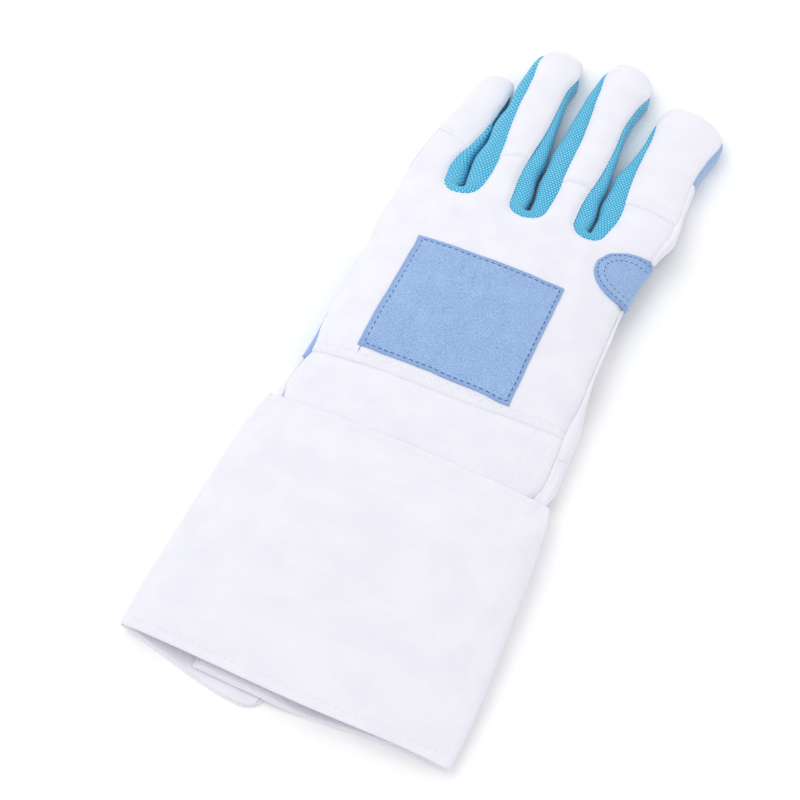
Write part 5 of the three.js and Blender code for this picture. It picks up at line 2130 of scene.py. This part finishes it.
        stitching.row(line("top", (-69, 69), 47, self.seam_height), tree)
        flap = line("outer flap", (-62, self.flap_edge - 4.5), 21, self.seam_height)
        stitching.row(flap, tree, from_below=True)
        stitching.row(line("inner flap", (-33, 60), 31, 5.0), shop.surface("cuff_facing"))
        edge = self.flap_edge - 3.5
        end = (edge, self.length - 6)
        stitching.row([*line("outer flap", (edge, edge), 1, 7.0), end], tree, from_below=True)
        return stitching.finish()


@dataclass
class Patches:
    """The suede patches on the back of the hand."""

    workshop: Workshop
    form: HandForm
    wall: float = 1.0
    width: float = 73.2
    length: float = 65.6
    start: float = 5.1
    centre: float = -3.2
    slant: float = 0.9
    lean: float = 0.9
    ear: float = 0.35
    wobble: float = 8.0
    # How far the row of stitches lies inside the left, right, lower and upper edge.
    row_insets: tuple[float, ...] = (3.1, 1.7, 1.9, 2.1)
    oval_length: float = 28.4
    oval_reach: float = 20.0
    oval_centre: float = 91.4
    oval_rows: tuple[float, ...] = (1.9, 5.0)
    row_reach: float = 2.6

    def corner(self, u: float, v: float, insets: Sequence[float] = (0.0, 0.0, 0.0, 0.0)) -> Place:
        """Returns a point of the slightly uneven rectangle.

        Args:
            u: the share along it.
            v: the share across it.
            insets: how far inside the cut edges it lies, at the left, right, lower and upper edge.

        Returns:
            The point.
        """
        left, right, lower, upper = insets
        x = self.centre - self.width / 2 + lerp(left, self.width - right, v)
        end = self.length - lerp(upper, upper + self.slant, v)
        y = self.form.back_hem_y + self.start + lerp(lower, end, u)
        x += 0.55 * noise.noise(Vector((y / self.wobble, 3.1 + 2 * round(v), 0)))
        y += 0.6 * noise.noise(Vector((x / self.wobble, 8.3 + 2 * round(u), 0)))
        y += lerp(-0.6, -0.2, v) * u + lerp(0.3, -0.6, v) * (1 - u)
        ear = self.ear * smoothstep(u, 0.95, 1.0) * (1 - smoothstep(v, 0.0, 0.06))
        x += self.lean * smoothstep(u, 0.2, 1.0) * (1 - v) - ear
        y += ear - 0.25 * u * (1 - v)
        return x, y

    def make_rectangle(self) -> Object:
        """Makes the rectangle on the middle of the back, and its row of stitches."""
        shop = self.workshop
        back = shop.surface("back_panel" + SUFFIX)

        def at(u: float, v: float) -> Knot:
            """Returns one knot, on the padded back below it."""
            x, y = self.corner(u, v)
            spot, _ = shop.drop(back, x, y)
            return Knot(x, y, spot.z / MM + shop.origin.z + self.wall)

        rows = grid(edged(24, 0.25), edged(26, 0.25), at)
        softness = Softness(roll=0.25, roll_width=0.7, pucker=0.14, swell=0.15, stitch_line=2.2,
                            stitch_sink=0.3, seed=51.0)
        shop.make("back_patch" + SUFFIX, Skin([rows], up), Finish.SUEDE, self.wall, softness)
        stitching = Stitching(shop, "stitches_back_patch", Yarn.BLUE, 0.6, 2.3, 3.05)
        tree = shop.surface("back_patch" + SUFFIX)
        insets = self.row_insets
        ring = [self.corner(0, v, insets) for v in even(20)]
        ring += [self.corner(u, 1, insets) for u in even(20)[1:]]
        ring += [self.corner(1, 1 - v, insets) for v in even(20)[1:]]
        ring += [self.corner(1 - u, 0, insets) for u in even(20)[1:]]
        stitching.row(ring, tree)
        # The thread's loose end hangs out at the lower left corner.
        x, y = self.corner(0, 0, insets)
        tail = Stitching(shop, "", Yarn.BLUE, 0.4, 1.6, 1.2, points=stitching.points, faces=stitching.faces)
        tail.row([(x - 2.4, y + 0.6), (x - 1.0, y - 1.0), (x - 1.1, y - 4.6)], back)
        return stitching.finish()

    def oval_edge(self, share: float, inset: float) -> Place:
        """Returns a point of the half-oval's curved edge, moved inwards.

        Args:
            share: the share of the edge.
            inset: how far it is moved inwards.

        Returns:
            The point.
        """
        angle = math.pi * (share - 0.5)
        centre = self.form.back_hem_y + self.oval_centre
        y = centre + (self.oval_length / 2 - inset) * math.sin(angle)
        reach = 1 + (self.oval_reach - 1 - inset) * math.cos(angle) ** 0.85
        wave = 0.5 * math.sin(13 * angle) + 0.3 * math.sin(29 * angle + 1) if inset < 1 else 0.0
        return self.form.right_seam(y) - reach - wave * math.cos(angle), y

    def make_half_oval(self) -> Object:
        """Makes the half-oval that wraps over the thumb's edge, and its two rows of stitches."""
        shop, form = self.workshop, self.form
        index = form.fingers["index"]

        def at(u: float, v: float) -> Knot:
            """Returns one knot, on top of the hand or round its edge."""
            start, y = self.oval_edge(u, 0.0)
            seam, under = form.right_seam(y), form.under_reach(y)
            if v <= 0.5:
                x = lerp(start, seam, 2 * v)
                return Knot(x, y, form.top_at(index, x, y))
            angle = math.pi * (v - 0.5) * 1.6
            out = form.seam_out(form.right_seam, y, False)
            upper, lower = form.top_at(index, seam, y), form.under_at(index, seam - under, y)
            middle = (upper + lower) / 2
            reach = lerp(-under if angle > math.pi / 2 else 0.0, form.right_side(y), math.sin(angle))
            height = middle + (upper - middle) * math.cos(angle)
            return Knot(seam + out[0] * reach, y + out[1] * reach, height, (seam + 6 * (v - 0.5), y))

        skin = Skin([grid(even(20), even(20), at)], lambda p: Vector((0.4, 0, 1)))
        softness = Softness(roll=0.6, roll_width=1.0, pucker=0.15, swell=0.2, lift=1.1, seed=52.0)
        shop.make("crotch_patch" + SUFFIX, skin, Finish.SUEDE, self.wall, softness)
        stitching = Stitching(shop, "stitches_crotch_patch", Yarn.BLUE, 0.5, 1.7, 2.4)
        tree = shop.surface("crotch_patch" + SUFFIX)
        for inset in self.oval_rows:
            path = [self.oval_edge(s, inset) for s in even(30)]
            (first_x, first_y), (last_x, last_y) = path[0], path[-1]
            path = [(first_x + self.row_reach, first_y), *path, (last_x + self.row_reach, last_y)]
            stitching.row(path, tree)
        return stitching.finish()


@dataclass
class Studio:
    """A pale sweep of paper, soft high-key light and the fitted camera."""

    floor_colour: str = "FDFDFD"
    paper_grain: float = 1.1
    surroundings: tuple[float, ...] = (0.985, 0.99, 1.0, 1.0)
    brightness: float = 0.93
    lamp_size: Place = (1.3, 1.0)
    lamp_watts: float = 6.0
    lamp_place: tuple[float, ...] = (-0.75, 0.2, 1.4)
    eye: tuple[float, ...] = (110.705, -306.877, 516.411)
    target: tuple[float, ...] = (-15.299, -36.661, 0.0)
    lens: float = 60.0
    sensor_width: float = 36.0

    def aim(self, thing: Object, place: Vector, target: Vector) -> None:
        """Puts a lamp or camera in the scene at a place, turned towards a target.

        Args:
            thing: the lamp or camera.
            place: its place, in metres.
            target: the place that it looks at, in metres.
        """
        thing.location = place
        thing.rotation_euler = (target - place).to_track_quat("-Z", "Y").to_euler()
        bpy.context.scene.collection.objects.link(thing)

    def make_floor(self) -> None:
        """Makes the pale floor that the glove lies on."""
        material, tree = new_material("matt_white_paper")
        place = add_node(tree, "TexCoord").outputs["Object"]
        finish_material(tree, {
            "Base Color": linear(self.floor_colour),
            "Roughness": 0.9,
            "Normal": bump(tree, grain(tree, place, self.paper_grain), 0.05, 0.2),
        })
        bpy.ops.object.select_all(action="DESELECT")
        bpy.ops.mesh.primitive_plane_add(size=6, location=(0, 0, 0))
        floor = bpy.context.active_object
        floor.name = "floor"
        floor.data.materials.append(material)

    def make_light(self) -> None:
        """Makes the white surroundings and one large soft light from the upper left."""
        scene = bpy.context.scene
        world = scene.world or bpy.data.worlds.new("studio")
        scene.world = world
        world.use_nodes = True
        world.node_tree.nodes.clear()
        colours = {"Color": self.surroundings, "Strength": self.brightness}
        white = add_node(world.node_tree, "Background", colours)
        add_node(world.node_tree, "OutputWorld", {"Surface": white.outputs["Background"]})
        light = bpy.data.lights.new("softbox", "AREA")
        light.shape = "RECTANGLE"
        light.size, light.size_y = self.lamp_size
        light.energy = self.lamp_watts
        self.aim(bpy.data.objects.new("softbox", light), Vector(self.lamp_place), Vector())
        scene.view_settings.view_transform = "Standard"
        scene.view_settings.look = "None"

    def make_camera(self) -> None:
        """Makes the camera at the fitted place."""
        lens = bpy.data.cameras.new("camera")
        lens.lens = self.lens
        lens.sensor_width = self.sensor_width
        lens.clip_start, lens.clip_end = 0.01, 20.0
        camera = bpy.data.objects.new("camera", lens)
        self.aim(camera, Vector(self.eye) * MM, Vector(self.target) * MM)
        bpy.context.scene.camera = camera


# Each node's cloth: the size that it is cut to, across and along, and how it is held.
CUTS = (
    ("cuff", (345.0, 130.0), Hold.LAID),
    ("wrist_band", (128.0, 40.0), Hold.SEWN),
    ("wrist_underside", (180.0, 30.0), Hold.GATHERED),
    ("little_back", (24.0, 56.0), Hold.SEWN),
    ("ring_back", (24.0, 88.0), Hold.SEWN),
    ("middle_back", (27.0, 97.0), Hold.SEWN),
    ("index_back", (34.0, 82.0), Hold.SEWN),
    ("fourchette_little_ring", (38.0, 240.0), Hold.SEWN),
    ("fourchette_ring_middle", (38.0, 280.0), Hold.SEWN),
    ("fourchette_middle_index", (38.0, 270.0), Hold.SEWN),
    ("little_side", (24.0, 128.0), Hold.SEWN),
    ("thumb_side", (36.0, 118.0), Hold.SEWN),
    ("index_side", (24.0, 56.0), Hold.SEWN),
    ("index_tip_side", (20.0, 54.0), Hold.SEWN),
    ("palm", (160.0, 235.0), Hold.SEWN),
    ("thumb_back", (42.0, 76.0), Hold.LAID),
    ("thumb_front", (36.0, 46.0), Hold.SEWN),
    ("back_patch", (74.5, 67.5), Hold.SEWN),
    ("crotch_patch", (42.0, 33.0), Hold.SEWN),
)


def declare_cloth(shop: Workshop) -> None:
    """Says for each piece of cloth which node it replaces and the size that it was cut to.

    Args:
        shop: the workshop that made the pieces.
    """
    for node, flat, hold in CUTS:
        shop.declare(node, flat, hold)


def main() -> None:
    """Builds the glove and its studio, placed by the boxes of two of the model's parts."""
    logging.basicConfig(level=logging.INFO, format="%(name)s %(message)s")
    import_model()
    bpy.ops.object.select_all(action="DESELECT")
    form = HandForm()
    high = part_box("middle_back")[1]
    middle_x = (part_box("cuff")[0].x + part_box("cuff")[1].x) / 2
    origin = Vector((-middle_x / MM + 0.0998, form.fingers["middle"].tip_y - high.y / MM, 0.0))
    LOG.info("origin %s", origin)
    shop = Workshop(
        origin,
        {
            Finish.CLOTH: PolyesterTwill().make(),
            Finish.MESH: SpacerMesh().make(),
            Finish.SUEDE: MicrofibreSuede().make(),
        },
        {
            Yarn.WHITE: SewingThread("white_polyester_thread", "F3F3FA").make(),
            Yarn.BLUE: SewingThread("navy_polyester_thread", "335A9A").make(),
        },
    )
    back = BackOfHand(shop, form)
    back.make_back()
    back.make_finger_backs()
    back.make_wrist_band()
    {name + "_back": [piece] for name, piece in back.sew().items()}
    Strips(shop, form).make_all()
    Palm(shop, form).make()
    Thumb(shop, form).make()
    cuff = Cuff(shop, form)
    cuff.make()
    facing = cuff.make_facing()
    cuff.make_underside()
    cuff.sew()
    patches = Patches(shop, form)
    patches.make_rectangle()
    patches.make_half_oval()
    declare_cloth(shop)
    studio = Studio()
    studio.make_floor()
    studio.make_light()
    studio.make_camera()


if __name__ == "__main__":
    main()
